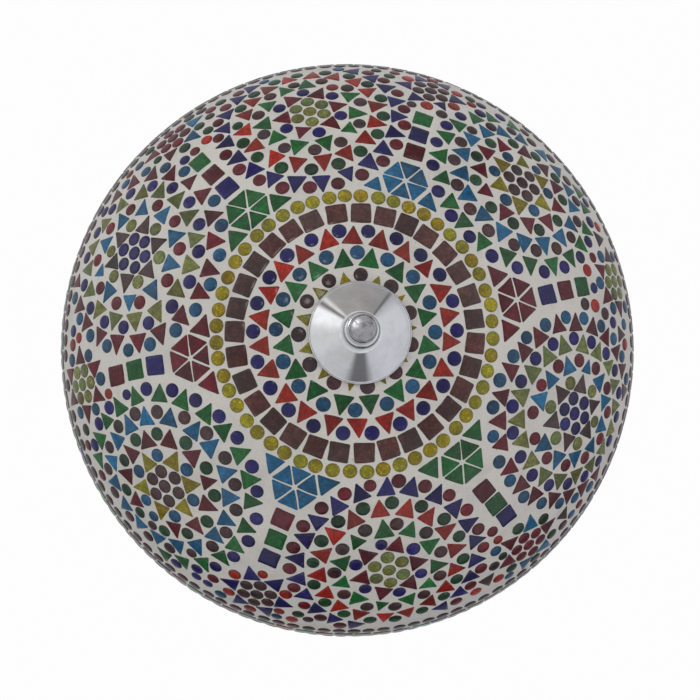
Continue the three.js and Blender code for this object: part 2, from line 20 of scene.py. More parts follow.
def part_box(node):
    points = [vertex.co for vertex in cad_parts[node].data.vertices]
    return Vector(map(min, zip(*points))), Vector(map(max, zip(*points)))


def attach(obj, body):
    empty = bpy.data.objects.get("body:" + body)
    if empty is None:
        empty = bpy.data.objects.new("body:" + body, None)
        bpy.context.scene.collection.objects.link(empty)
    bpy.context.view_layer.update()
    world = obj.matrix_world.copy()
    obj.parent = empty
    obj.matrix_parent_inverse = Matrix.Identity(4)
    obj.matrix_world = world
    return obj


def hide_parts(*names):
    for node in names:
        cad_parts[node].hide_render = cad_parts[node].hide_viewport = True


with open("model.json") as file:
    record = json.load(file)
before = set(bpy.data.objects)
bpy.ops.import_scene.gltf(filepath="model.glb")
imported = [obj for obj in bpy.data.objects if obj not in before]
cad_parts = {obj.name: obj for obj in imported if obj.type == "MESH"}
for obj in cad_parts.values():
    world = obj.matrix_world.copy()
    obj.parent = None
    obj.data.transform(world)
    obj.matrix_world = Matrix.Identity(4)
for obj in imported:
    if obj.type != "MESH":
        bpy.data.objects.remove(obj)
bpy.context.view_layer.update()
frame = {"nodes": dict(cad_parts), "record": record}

MM = 0.001
rng = random.Random(11)


def cad_size(node):
    """How far a CAD node reaches along X, and its lowest and highest point, in millimetres."""
    low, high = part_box(node)
    return high.x / MM, low.z / MM, high.z / MM


def unit(degrees):
    """The cosine and the sine of an angle."""
    turn = math.radians(degrees)
    return math.cos(turn), math.sin(turn)


def ripple(turn):
    """A wave from 0 to 1 and back, once in a full turn."""
    return 0.5 - 0.5 * math.cos(turn)


# ---- bowl, from the frame ----

BOWL_RADIUS, CROWN_Z, RIM_Z = cad_size("mosaic_layer")
RIM_RISE = 30
WIDEST_Z = RIM_Z - RIM_RISE
BOWL_DEPTH = WIDEST_Z - CROWN_Z
BOWL_POWER = 1.88
MOSAIC_THICKNESS = 3
MOSAIC_HOLE_RADIUS = 12
GAP = 0.3
GLASS_THICKNESS = 3
GLASS_HOLE_RADIUS = 6.5
ROD_RADIUS = 5
BORE_RADIUS = ROD_RADIUS + GAP

# ---- camera ----

CAMERA_DISTANCE = 450
CAMERA_SHIFT = (1.15, -3.58)
CAMERA_TILT = (-0.0589, -0.0445)  # radians, about X and about Y
CAMERA_LENS = 34.37
SENSOR_WIDTH = 36


def make_camera():
    """The camera looks straight up at the bowl, from a little to one side of the rod."""
    turn = Matrix.Rotation(CAMERA_TILT[0], 3, "X") @ Matrix.Rotation(CAMERA_TILT[1], 3, "Y")
    to_centre = Vector((*CAMERA_SHIFT, CAMERA_DISTANCE))
    place = Vector((0, 0, WIDEST_Z)) - turn.transposed() @ to_centre
    axes = Matrix((turn[0], -turn[1], -turn[2])).transposed()
    data = bpy.data.cameras.new("camera")
    data.lens = CAMERA_LENS
    data.sensor_width = SENSOR_WIDTH
    camera = bpy.data.objects.new("camera", data)
    camera.matrix_world = Matrix.Translation(place * MM) @ axes.to_4x4()
    bpy.context.scene.collection.objects.link(camera)
    bpy.context.scene.camera = camera


make_camera()

# ---- the bowl's surface ----

OUTLINE_STEPS = 1600


def bowl_outline():
    """Arc length from the crown, radius and height along the bowl's outer outline."""
    last = -math.asin((RIM_RISE / BOWL_DEPTH) ** (BOWL_POWER / 2))
    turn = np.linspace(math.pi / 2, last, OUTLINE_STEPS)
    drop = BOWL_DEPTH * np.sign(turn) * np.abs(np.sin(turn)) ** (2 / BOWL_POWER)
    share = (np.abs(drop) / BOWL_DEPTH) ** BOWL_POWER
    radius = BOWL_RADIUS * (1 - np.minimum(share, 1)) ** (1 / BOWL_POWER)
    radius[0] = 0
    height = WIDEST_Z - drop
    steps = np.hypot(np.diff(radius), np.diff(height))
    return np.concatenate(([0], np.cumsum(steps))), radius, height


ARC, RADIUS, HEIGHT = bowl_outline()
RIM_ARC = float(ARC[-1])


def outline_at(arc):
    """Radius, height and outward normal (radial, up) of the outline at an arc length."""
    radius = float(np.interp(arc, ARC, RADIUS))
    height = float(np.interp(arc, ARC, HEIGHT))
    across = (radius / BOWL_RADIUS) ** (BOWL_POWER - 1) / BOWL_RADIUS
    drop = WIDEST_Z - height
    down = math.copysign((abs(drop) / BOWL_DEPTH) ** (BOWL_POWER - 1), drop) / BOWL_DEPTH
    size = math.hypot(across, down)
    return radius, height, across / size, -down / size


def on_bowl(arc, azimuth):
    """A point on the bowl with its outward normal, and the directions away from the crown and round."""
    radius, height, normal_r, normal_z = outline_at(arc)
    cos, sin = unit(azimuth)
    point = Vector((radius * cos, radius * sin, height))
    normal = Vector((normal_r * cos, normal_r * sin, normal_z))
    outward = Vector((-normal_z * cos, -normal_z * sin, normal_r))
    around = Vector((-sin, cos, 0))
    return point, normal, outward, around


def nearest_on_bowl(point):
    """Arc length and azimuth of the point of the bowl nearest to a point."""
    distance = np.hypot(RADIUS - math.hypot(point.x, point.y), HEIGHT - point.z)
    return float(ARC[int(np.argmin(distance))]), math.degrees(math.atan2(point.y, point.x))


def step_from(arc, azimuth, distance, angle):
    """Where a walk over the bowl ends: angle 0 leads away from the crown, 90 leads round."""
    start, _, outward, around = on_bowl(arc, azimuth)
    cos, sin = unit(angle)
    heading = outward * cos + around * sin
    reach = distance
    place = (arc, azimuth)
    for _ in range(3):
        place = nearest_on_bowl(start + heading * reach)
        walked = (on_bowl(*place)[0] - start).length
        reach *= distance / max(walked, 0.1)
    return place


# ---- mesh helpers ----

HARD_EDGE = 30  # a sharper edge than this is kept


def mesh_piece(name, vertices, faces, material, smooth=True):
    """A mesh object from millimetre vertices, with its faces turned outwards."""
    mesh = bpy.data.meshes.new(name)
    mesh.from_pydata([[c * MM for c in v] for v in vertices], [], faces)
    work = bmesh.new()
    work.from_mesh(mesh)
    bmesh.ops.recalc_face_normals(work, faces=work.faces)
    work.to_mesh(mesh)
    work.free()
    if smooth:
        mesh.polygons.foreach_set("use_smooth", [True] * len(mesh.polygons))
    mesh.materials.append(material)
    piece = bpy.data.objects.new(name, mesh)
    bpy.context.scene.collection.objects.link(piece)
    return piece


def place_piece(piece, body, slot, *nodes):
    """Rides a piece on its body and hides the CAD nodes it stands for; the finish slot is not used."""
    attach(piece, body)
    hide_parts(*nodes)


def rounded(profile, radius, steps=3):
    """A closed profile of [radius, z] points with its corners rounded, apart from those on the axis."""
    points = [Vector(p) for p in profile]
    result = []
    for i, corner in enumerate(points):
        before = points[i - 1] - corner
        after = points[(i + 1) % len(points)] - corner
        on_axis = corner.x < 1e-6
        if on_axis or before.length < 1e-6 or after.length < 1e-6:
            result.append(corner)
            continue
        cut = min(radius, before.length * 0.45, after.length * 0.45)
        start = corner + before.normalized() * cut
        end = corner + after.normalized() * cut
        for k in range(steps + 1):
            t = k / steps
            result.append(start * (1 - t) ** 2 + corner * 2 * t * (1 - t) + end * t * t)
    return [(p.x, p.y) for p in result]


def turned(name, profile, material, segments=96, shift=None):
    """A smooth piece: a closed profile of [radius, z] points turned about Z, its hard edges kept.

    shift, if given, is a function of radius, z and angle that returns how far out a point moves."""
    vertices = []
    rings = []
    for radius, z in profile:
        if radius < 1e-6:
            rings.append([len(vertices)] * segments)
            vertices.append((0, 0, z))
            continue
        rings.append(list(range(len(vertices), len(vertices) + segments)))
        for k in range(segments):
            angle = 2 * math.pi * k / segments
            r = radius + (shift(radius, z, angle) if shift else 0)
            vertices.append((r * math.cos(angle), r * math.sin(angle), z))
    faces = []
    for i, ring in enumerate(rings):
        following = rings[(i + 1) % len(rings)]
        for k in range(segments):
            n = (k + 1) % segments
            corners = [ring[k], ring[n], following[n], following[k]]
            face = [v for j, v in enumerate(corners) if v not in corners[:j]]
            if len(face) > 2:
                faces.append(face)
    piece = mesh_piece(name, vertices, faces, material)
    keep_edges(piece, HARD_EDGE)
    return piece


def shaped(name, section, material, segments=96, sharp=HARD_EDGE):
    """A closed piece round Z whose profile of (radius, z) points is a function of the angle."""
    rows = [section(2 * math.pi * k / segments) for k in range(segments)]
    count = len(rows[0])
    vertices = []
    for k, row in enumerate(rows):
        angle = 2 * math.pi * k / segments
        vertices += [(r * math.cos(angle), r * math.sin(angle), z) for r, z in row]
    faces = []
    for k in range(segments):
        n = (k + 1) % segments
        for i in range(count):
            j = (i + 1) % count
            faces.append([k * count + i, n * count + i, n * count + j, k * count + j])
    piece = mesh_piece(name, vertices, faces, material)
    keep_edges(piece, sharp)
    return piece


def prism(outline, low, high):
    """A plain upright prism used as a cutter."""
    count = len(outline)
    vertices = [(x, y, z) for z in (low, high) for x, y in outline]
    faces = [list(range(count)), list(range(count, 2 * count))]
    faces += [[i, (i + 1) % count, count + (i + 1) % count, count + i] for i in range(count)]
    return mesh_piece("cutter", vertices, faces, bpy.data.materials[0], smooth=False)


def arc_points(x, y, radius, start, end, steps):
    """Points of an arc in a plane, its angles from the first axis towards the second."""
    turns = (math.radians(start + (end - start) * k / steps) for k in range(steps + 1))
    return [(x + radius * math.cos(a), y + radius * math.sin(a)) for a in turns]


def offset(x, y, *steps):
    """Points given by their steps from one point."""
    return [(x + across, y + along) for across, along in steps]


def cut(piece, cutters):
    """Cuts the cutters out of a piece, for good."""
    for cutter in cutters:
        modifier = piece.modifiers.new("cut", "BOOLEAN")
        modifier.operation = "DIFFERENCE"
        modifier.solver = "EXACT"
        modifier.object = cutter
    shape = piece.evaluated_get(bpy.context.evaluated_depsgraph_get())
    mesh = bpy.data.meshes.new_from_object(shape)
    piece.modifiers.clear()
    piece.data = mesh
    for cutter in cutters:
        bpy.data.objects.remove(cutter)


def keep_edges(piece, degrees):
    """Shades a piece smooth, apart from edges sharper than an angle."""
    piece.data.set_sharp_from_angle(angle=math.radians(degrees))


def moved(piece, matrix):
    """Moves the mesh of a piece by a matrix in millimetres."""
    place = matrix.copy()
    place.translation = matrix.translation * MM
    piece.data.transform(place)
    return piece


# ---- materials ----


class Nodes:
    """Short ways to add shader nodes to a tree and to join them."""

    def __init__(self, tree):
        self.tree = tree

    def add(self, kind, **settings):
        node = self.tree.nodes.new(kind)
        for key, value in settings.items():
            setattr(node, key, value)
        return node

    def link(self, output, target):
        self.tree.links.new(output, target)

    def fill(self, sockets, values):
        """Links or sets each socket, by what its value is."""
        for socket, value in zip(sockets, values):
            if isinstance(value, (int, float)):
                socket.default_value = value
            elif isinstance(value, tuple):
                socket.default_value = (*value, 1)
            else:
                self.link(value, socket)

    def ramp(self, value, *stops):
        """Maps a value to a colour by (position, colour) stops; one number stands for a grey."""
        node = self.add("ShaderNodeValToRGB")
        elements = node.color_ramp.elements
        while len(elements) < len(stops):
            elements.new(0.5)
        for element, (position, colour) in zip(elements, stops):
            element.position = position
            element.color = (*(colour if isinstance(colour, tuple) else (colour,) * 3), 1)
        self.link(value, node.inputs["Fac"])
        return node.outputs["Color"]

    def range(self, value, low, high, start=0.0, end=1.0):
        node = self.add("ShaderNodeMapRange")
        names = ("Value", "From Min", "From Max", "To Min", "To Max")
        self.fill([node.inputs[name] for name in names], (value, start, end, low, high))
        return node.outputs["Result"]

    def math(self, operation, a, b):
        node = self.add("ShaderNodeMath", operation=operation)
        self.fill(node.inputs, (a, b))
        return node.outputs["Value"]

    def mix(self, factor, a, b, blend="MIX"):
        node = self.add("ShaderNodeMix", data_type="RGBA", blend_type=blend)
        self.fill((node.inputs[0], node.inputs[6], node.inputs[7]), (factor, a, b))
        return node.outputs[2]

    def times(self, a, b):
        return self.mix(1.0, a, b, "MULTIPLY")


class Shader(Nodes):
    """A procedural material around one Principled shader."""

    def __init__(self, name):
        self.material = bpy.data.materials.new(name)
        self.material.use_nodes = True
        super().__init__(self.material.node_tree)
        self.shader = self.tree.nodes["Principled BSDF"]
        self.coordinates = self.add("ShaderNodeTexCoord").outputs["Object"]

    def set(self, **values):
        """Constants on the shader's own sockets; an underscore stands for a space."""
        for key, value in values.items():
            self.shader.inputs[key.replace("_", " ")].default_value = value

    def to(self, name, output):
        self.link(output, self.shader.inputs[name])

    def rough(self, value, low, high):
        self.to("Roughness", self.range(value, low, high))

    def noise(self, scale, detail=3.0, roughness=0.55, stretch=None, distortion=0.0):
        """Noise whose scale is in cells a metre, stretched along an axis if asked."""
        node = self.add("ShaderNodeTexNoise")
        names = ("Scale", "Detail", "Roughness", "Distortion")
        self.fill([node.inputs[name] for name in names], (scale, detail, roughness, distortion))
        source = self.coordinates
        if stretch:
            mapping = self.add("ShaderNodeMapping")
            mapping.inputs["Scale"].default_value = stretch
            self.link(source, mapping.inputs["Vector"])
            source = mapping.outputs["Vector"]
        self.link(source, node.inputs["Vector"])
        return node.outputs["Fac"]

    def cells(self, scale, output="Distance"):
        node = self.add("ShaderNodeTexVoronoi")
        node.inputs["Scale"].default_value = scale
        self.link(self.coordinates, node.inputs["Vector"])
        return node.outputs[output]

    def attribute(self, name):
        return self.add("ShaderNodeAttribute", attribute_name=name).outputs["Fac"]

    def bump(self, height, strength, distance):
        """Adds a bump of a height in millimetres on top of the bumps so far."""
        node = self.add("ShaderNodeBump")
        node.inputs["Strength"].default_value = strength
        node.inputs["Distance"].default_value = distance * MM
        self.link(height, node.inputs["Height"])
        socket = self.shader.inputs["Normal"]
        if socket.is_linked:
            self.link(socket.links[0].from_socket, node.inputs["Normal"])
        self.link(node.outputs["Normal"], socket)


def linear(red, green, blue):
    """A linear colour from 8-bit sRGB values."""
    def channel(value):
        value /= 255
        return value / 12.92 if value <= 0.04045 else ((value + 0.055) / 1.055) ** 2.4
    return channel(red), channel(green), channel(blue)


def shade(colour, factor):
    return tuple(min(1.0, c * factor) for c in colour)


GLASS_COLOURS = {
    "navy": (19, 13, 78), "blue": (5, 82, 119), "teal": (17, 65, 96), "green": (15, 84, 36),
    "dark_green": (16, 52, 28), "red": (132, 27, 14), "maroon": (83, 12, 27), "mauve": (55, 34, 36),
    "brown": (73, 44, 41), "olive": (94, 100, 49), "yellow": (124, 112, 0),
}
# The whitish colour of the painted sheen on the glass.
PAINTED_SHEEN_COLOUR = linear(168, 166, 160)
SHADES = ((0.0, 0.62), (0.5, 1), (0.85, 1.22), (1.0, 1.4))  # how dark or bright single tiles come
# The scale and brightness of the speckles, partly seeds in the glass and partly painted glints, the painted
# shade from middle to rim, the scale of the dents, and the scale, strength and height of the finer
# unevenness.
BEAD_GLASS = {"seed_glints": 900, "bright": 2.1, "edge": (1.12, 0.45), "dents": 240, "fine": (1000, 0.4, 0.08)}
CUT_GLASS = {"seed_glints": 620, "bright": 1.35, "edge": (1.0, 0.8), "dents": 170, "fine": (1800, 0.15, 0.03)}


def glass_material(name, colour, look):
    """Coloured glass: a tone by piece, wisps in the melt, speckles of seeds and painted glints, painted
    shade at the rims, and a painted whitish sheen, strongest at the edges.
    """
    s = Shader(name)
    share = s.attribute("tint")
    tint = s.ramp(share, *((place, shade(colour, factor)) for place, factor in SHADES))
    sway = s.math("SINE", s.math("MULTIPLY", share, 61), 0)
    cast = s.ramp(s.range(sway, 0, 1, -1, 1), (0.0, (1.1, 0.97, 0.95)), (0.5, 1), (1.0, (0.9, 1.04, 1.06)))
    melt = s.noise(125, 4, 0.6, distortion=1.2)
    wisps = s.ramp(melt, (0.3, (0.64, 0.64, 0.66)), (0.5, 0.96), (0.7, (1.45, 1.42, 1.38)))
    # Painted glints: bright speckles, up to the look's brightness times the colour, among darker seeds in
    # the glass.
    seed_glints = s.ramp(s.noise(look["seed_glints"], 2, 0.6), (0.43, 0.82), (0.6, 1.15), (0.7, look["bright"]))
    rim = s.attribute("rim")
    # Painted shade: each piece is darkened towards its rim and, on beads, brightened in its middle.
    painted_rim_shade = s.range(rim, *look["edge"], 0.15, 1.0)
    base = s.times(s.times(s.times(s.times(tint, cast), wisps), seed_glints), painted_rim_shade)
    # Painted sheen: a whitish haze mixed in by noise towards each piece's rim, and a little more on some
    # pieces than others; it also roughens the glass.
    painted_sheen = s.math("MULTIPLY", s.range(s.noise(420, 5, 0.7), 0, 0.4, 0.54, 0.76), s.range(rim, 0.15, 1.0))
    painted_sheen = s.math("ADD", painted_sheen, s.range(sway, 0, 0.03, -1, 1))
    s.to("Base Color", s.mix(painted_sheen, base, PAINTED_SHEEN_COLOUR))
    s.to("Roughness", s.math("ADD", s.range(s.noise(260, 3), 0.06, 0.2), s.math("MULTIPLY", painted_sheen, 0.5)))
    s.bump(s.noise(look["dents"], 2), 0.35, 0.25)
    fine_scale, fine_strength, fine_height = look["fine"]
    s.bump(s.noise(fine_scale, 2), fine_strength, fine_height)
    s.set(IOR=1.45, Specular_IOR_Level=0.42)
    return s.material


def grout_material():
    """White cement grout: wiped smooth, with sand grain, pin holes painted dark as painted shade inside
    them, and a grey film from the wiping.
    """
    s = Shader("grout")
    broad = s.ramp(s.noise(18, 4, 0.6), (0.3, linear(202, 199, 192)), (0.7, linear(215, 211, 203)))
    base = s.times(broad, s.ramp(s.noise(1400, 3, 0.7), (0.3, 0.86), (0.6, 1.03)))
    rare = s.range(s.noise(90, 2), 0, 1, 0.56, 0.64)
    # The pits are bumped in and also painted dark: painted shade inside the pin holes.
    pits = s.math("MULTIPLY", s.range(s.cells(210), 1, 0, 0.03, 0.09), rare)
    smear = s.range(s.noise(60, 5, 0.65, stretch=(1, 1, 3)), 0, 0.35, 0.5, 0.75)
    base = s.mix(smear, base, linear(166, 163, 155))
    s.to("Base Color", s.mix(pits, base, linear(84, 78, 70)))
    s.rough(s.noise(300, 3), 0.36, 0.6)
    s.bump(s.noise(1600, 3, 0.7), 0.3, 0.06)
    s.bump(s.noise(130, 3), 0.35, 0.3)
    s.bump(s.math("MULTIPLY", pits, -1), 0.6, 0.3)
    s.set(Specular_IOR_Level=0.45)
    return s.material


def chrome_material(name, smudge_scale, clean, soiled, rough, lines_height):
    """Chrome plate with faint polishing lines, smudges and dulled spots."""
    s = Shader(name)
    smudge = s.range(s.noise(smudge_scale, 4, 0.65), 0, 1, 0.46, 0.7)
    s.to("Base Color", s.mix(smudge, clean, soiled))
    lines = s.noise(900, 2, stretch=(1, 1, 12))
    s.to("Roughness", s.math("ADD", s.range(lines, *rough), s.math("MULTIPLY", smudge, 0.08)))
    s.bump(lines, lines_height, 0.02)
    s.bump(s.noise(60, 2), 0.06, 0.25)
    s.set(Metallic=1.0)
    return s.material


def enamel_material():
    """White stove enamel with a slight orange peel, ageing and rubbed spots."""
    s = Shader("white_enamel")
    broad = s.ramp(s.noise(9, 4), (0.35, linear(228, 226, 219)), (0.7, linear(240, 238, 232)))
    base = s.mix(s.range(s.noise(45, 6, 0.7), 0, 0.4, 0.55, 0.8), broad, linear(196, 192, 182))
    rare = s.range(s.noise(30), 0, 1, 0.6, 0.66)
    chips = s.math("MULTIPLY", s.range(s.cells(70), 1, 0, 0.02, 0.05), rare)
    s.to("Base Color", s.mix(chips, base, linear(96, 92, 86)))
    s.rough(s.noise(120, 4), 0.26, 0.46)
    s.bump(s.noise(700, 2), 0.2, 0.05)
    s.bump(s.math("MULTIPLY", chips, -1), 0.5, 0.12)
    s.set(Coat_Weight=0.2, Coat_Roughness=0.2)
    return s.material


def zinc_material():
    """Zinc-plated steel: fine spangle, a faint yellow cast and duller scuffs."""
    s = Shader("zinc_steel")
    spangle = s.ramp(s.cells(900, "Color"), (0.0, (0.44, 0.45, 0.46)), (1.0, (0.6, 0.6, 0.59)))
    s.to("Base Color", s.mix(s.range(s.noise(80, 4), 0, 0.45, 0.45, 0.7), spangle, (0.5, 0.46, 0.34)))
    s.rough(s.noise(500, 4, 0.7), 0.25, 0.52)
    s.bump(s.noise(1200, 3), 0.2, 0.03)
    s.set(Metallic=1.0)
    return s.material


def plain_material(name, colour, worn, rough, grain, metallic=0.0, patch=90):
    """A moulded or plain-metal finish: patches of wear over a fine grain."""
    s = Shader(name)
    patches = s.range(s.noise(patch, 5, 0.65), 0, 0.8, 0.45, 0.8)
    speck = s.ramp(s.noise(1500, 2), (0.3, 0.9), (0.7, 1.06))
    s.to("Base Color", s.times(s.mix(patches, colour, worn), speck))
    s.rough(s.noise(260, 4), rough - 0.08, rough + 0.12)
    s.bump(s.noise(grain, 3), 0.25, 0.05)
    s.set(Metallic=metallic)
    return s.material


def clear_glass_material():
    """Clear blown glass, seen only from inside the light."""
    s = Shader("clear_glass")
    s.to("Base Color", s.ramp(s.noise(20, 3), (0.3, (0.86, 0.93, 0.9)), (0.7, (0.95, 0.98, 0.96))))
    s.rough(s.noise(150, 3), 0.02, 0.08)
    s.bump(s.noise(30, 2), 0.1, 0.4)
    s.set(IOR=1.5, Transmission_Weight=0.9)
    return s.material


def opal_material():
    """Opal bulb glass, slightly uneven in depth of white."""
    s = Shader("opal_glass")
    s.to("Base Color", s.ramp(s.noise(60, 3), (0.3, linear(232, 229, 220)), (0.7, linear(246, 244, 238))))
    s.rough(s.noise(200, 3), 0.16, 0.3)
    s.bump(s.noise(300, 2), 0.1, 0.03)
    s.set(Subsurface_Weight=0.15, Coat_Weight=0.3, Coat_Roughness=0.1)
    return s.material


GROUT = grout_material()
CHROME = chrome_material("chrome", 70, (0.66, 0.665, 0.68), (0.56, 0.56, 0.57), (0.03, 0.1), 0.03)
# The knob's brushed chrome has a darker base colour than the cap's chrome, as painted shade: it stands for
# the dark reflection seen in the knob's face.
BRUSHED_PAINTED_DARK = chrome_material("chrome_brushed", 340, (0.5, 0.5, 0.51), (0.24, 0.24, 0.25), (0.16, 0.3), 0.12)
ENAMEL = enamel_material()
ZINC = zinc_material()
CLEAR = clear_glass_material()
OPAL = opal_material()
RUBBER = plain_material("rubber", linear(32, 32, 34), linear(70, 68, 66), 0.75, 900)
PLASTIC = plain_material("holder_plastic", linear(224, 219, 206), linear(196, 184, 158), 0.45, 700)
BRASS = plain_material("brass", (0.6, 0.43, 0.17), (0.32, 0.2, 0.08), 0.3, 900, 1.0)
LIVE = plain_material("live_insulation", linear(104, 58, 34), linear(84, 52, 36), 0.45, 800)
NEUTRAL = plain_material("neutral_insulation", linear(36, 88, 158), linear(52, 92, 140), 0.45, 800)
EARTH = plain_material("earth_insulation", linear(112, 156, 40), linear(186, 178, 48), 0.45, 800, patch=160)

# ---- mosaic: grout ----

GROUT_INSET = 0.8
GROUT_SEGMENTS = 360
GROUT_RINGS = 110
WAVE_SCALE = 0.09  # waves a millimetre
WAVE_HEIGHT = 0.14


def inset_point(arc, inset):
    radius, height, normal_r, normal_z = outline_at(arc)
    return radius - inset * normal_r, height - inset * normal_z


def shell_profile(outer, inner):
    """The closed profile between two outlines that run up to the rim, with a lip on top."""
    lip = ((outer[-1][0] + inner[-1][0]) / 2, RIM_Z)
    return outer + [lip] + inner[::-1]


def make_grout():
    """A closed shell of grout, waved a little as it is where a hand wiped it."""
    first = float(np.interp(MOSAIC_HOLE_RADIUS, RADIUS, ARC))
    arcs = [first + (RIM_ARC - first) * i / GROUT_RINGS for i in range(GROUT_RINGS + 1)]
    outer = [inset_point(arc, GROUT_INSET) for arc in arcs]
    inner = [inset_point(arc, MOSAIC_THICKNESS) for arc in arcs[::6]]
    outer[-1] = (outer[-1][0], RIM_Z - 0.4)
    inner[-1] = (inner[-1][0], RIM_Z - 0.4)
    face = set(outer[1:-1])

    def wave(radius, z, angle):
        if (radius, z) not in face:
            return 0
        spot = Vector((radius * math.cos(angle), radius * math.sin(angle), z)) * WAVE_SCALE
        return WAVE_HEIGHT * noise.noise(spot)

    return turned("grout", shell_profile(outer, inner), GROUT, GROUT_SEGMENTS, wave)


place_piece(make_grout(), "shade", "mosaic", "mosaic_layer")

# ---- mosaic: layout ----

BEAD_RADIUS = 4.05
TRIANGLE_BASE = 11.9
TRIANGLE_HEIGHT = 11.6
SQUARE = 11.3
CLEARANCE = 0.2  # least width of grout between two tiles
OFF_CENTRE = (-2.2, -1.1)  # the crown's rings were laid a little off the hole
EVEN_ARC = 270  # and the rows are centred again at this arc length

laid = []  # every tile: its kind, colour, outline on the bowl, centre and directions
grid = {}  # the same tiles by the cell of space that holds their centre
GRID_CELL = 16
REACH = 20  # tiles whose centres are further apart than this can't touch
SIZES = (1.0, 0.93, 0.86, 0.78)  # how far a tile may be nipped to fit
NUDGES = tuple(Vector(p) for p in ((0, 0), (0.6, 0), (-0.6, 0), (0, 0.6), (0, -0.6)))


def off_centre(arc, azimuth):
    """Moves a place in the pattern by the slight offset with which it was laid on the bowl."""
    fade = max(0.0, 1 - (arc / EVEN_ARC) ** 2)
    cos, sin = unit(azimuth)
    x = arc * cos + OFF_CENTRE[0] * fade
    y = arc * sin + OFF_CENTRE[1] * fade
    return math.hypot(x, y), math.degrees(math.atan2(y, x))


def sag_at(arc):
    """How fast the bowl falls away under a flat tile, away from the crown and round it."""
    further = min(arc + 4, RIM_ARC)
    bend = on_bowl(arc, 0)[1].angle(on_bowl(further, 0)[1]) / max(further - arc, 1)
    radius, _, normal_r, _ = outline_at(arc)
    return 0.5 * bend, 0.5 * normal_r / radius


def crossing(one, other, gap):
    """Whether two flat convex outlines come closer than a gap."""
    for outline in (one, other):
        for i in range(len(outline)):
            edge = outline[i] - outline[i - 1]
            across = Vector((edge.y, -edge.x)).normalized()
            a = [across.dot(p) for p in one]
            b = [across.dot(p) for p in other]
            if min(a) > max(b) + gap or min(b) > max(a) + gap:
                return False
    return True


def cell_of(point):
    return tuple(int(c // GRID_CELL) for c in point)


def neighbours(point):
    """The tiles already laid whose centres lie in the cells round a point."""
    cell = cell_of(point)
    for step in itertools.product((-1, 0, 1), repeat=3):
        yield from grid.get(tuple(c + d for c, d in zip(cell, step)), ())


def lay(kind, colour, arc, azimuth, outline, turn=0.0, shift=True, gap=CLEARANCE, sizes=SIZES):
    """Lays one tile. outline is flat, about the tile's centre: x away from the crown, y round.

    A tile that would touch one already laid is nudged, nipped smaller, or left out."""
    if shift:
        arc, azimuth = off_centre(arc, azimuth)
    centre, normal, outward, around = on_bowl(arc, azimuth)
    cos, sin = unit(turn)
    near = [[Vector((outward.dot(p - centre), around.dot(p - centre))) for p in other["outline"]]
            for other in neighbours(centre) if (other["centre"] - centre).length < REACH]
    shape = [Vector((x * cos - y * sin, x * sin + y * cos)) for x, y in outline]
    for size, nudge in itertools.product(sizes, NUDGES):
        nudged = [p * size + nudge for p in shape]
        if not any(crossing(nudged, other, gap) for other in near):
            break
    else:
        return
    centre = centre + outward * nudge.x + around * nudge.y
    flat = [p - nudge for p in nudged]
    tile = {
        "kind": kind, "colour": colour, "centre": centre, "normal": normal, "outward": outward,
        "around": around, "flat": flat, "sag": sag_at(arc),
        "outline": [centre + outward * p.x + around * p.y for p in flat],
    }
    laid.append(tile)
    grid.setdefault(cell_of(centre), []).append(tile)


def jitter(amount):
    return rng.uniform(-amount, amount)


def bead_outline():
    r = BEAD_RADIUS * (1 + jitter(0.03))
    return [(r * cos, r * sin) for cos, sin in (unit(30 * k) for k in range(12))]


def triangle_outline(base=TRIANGLE_BASE, height=TRIANGLE_HEIGHT):
    """An isosceles triangle with its tip along +x, cut a little unevenly by hand."""
    corners = [(height * 2 / 3, jitter(0.7)), (-height / 3, base / 2), (-height / 3, -base / 2)]
    return [(x + jitter(0.45), y + jitter(0.45)) for x, y in corners]


def square_outline(width=SQUARE):
    half = width / 2
    corners = [(half, half), (-half, half), (-half, -half), (half, -half)]
    return [(x + jitter(0.35), y + jitter(0.35)) for x, y in corners]


def bead(colour, arc, azimuth):
    lay("bead", colour, arc + jitter(0.35), azimuth, bead_outline())


def triangle(colour, arc, azimuth, turn=0.0, **size):
    lay("cut", colour, arc, azimuth, triangle_outline(**size), turn + jitter(5))


def square(colour, arc, azimuth):
    lay("cut", colour, arc, azimuth, square_outline(), jitter(2.5))


def pick(colours):
    return colours if isinstance(colours, str) else rng.choice(colours)


def crown_ring(make, colour, arc, count, first, **size):
    """A ring of tiles about the crown, their tips pointing away from it."""
    for k in range(count):
        make(colour, arc, first + 360 * k / count + jitter(18 / count), **size)


def around_centre(kind, colours, centre, distance, count, first, limit):
    """A ring of tiles about a rosette's centre, their tips pointing away from it."""
    for k in range(count):
        angle = first + 360 * k / count + jitter(24 / count)
        place = step_from(*centre, distance + jitter(0.4), angle)
        if place[0] > limit:
            continue
        colour = pick(colours)
        if kind == "bead":
            bead(colour, *place)
        else:
            triangle(colour, *place, turn_from(centre, place))


def turn_from(centre, place):
    """The turn, in a tile's own flat frame, of the direction that leads away from a centre."""
    point, _, outward, around = on_bowl(*place)
    away = point - on_bowl(*centre)[0]
    return math.degrees(math.atan2(around.dot(away), outward.dot(away)))


def cluster(colour, centre, pitch):
    bead(colour, *centre)
    for k in range(6):
        bead(colour, *step_from(*centre, pitch, 60 * k))


# Rosettes: colours from the centre outwards, as (triangles, beads) for each ring.
ROSETTE_COLOURS = {
    "poppy": ("olive", ("maroon", "navy"), ("green", "mauve"), ("red", "dark_green"), ("navy", "maroon")),
    "moss": ("mauve", ("yellow", "teal"), ("maroon", "dark_green"), ("blue", "mauve"), ("green", "navy")),
    "night": ("navy", ("mauve", "olive"), ("blue", "maroon"), ("olive", "navy"), ("maroon", "teal")),
}
TRIANGLE_RADII = (16.3, 27.3, 39.6, 52.0)
BEAD_RADII = (18.7, 31.0, 43.8, 56.2)
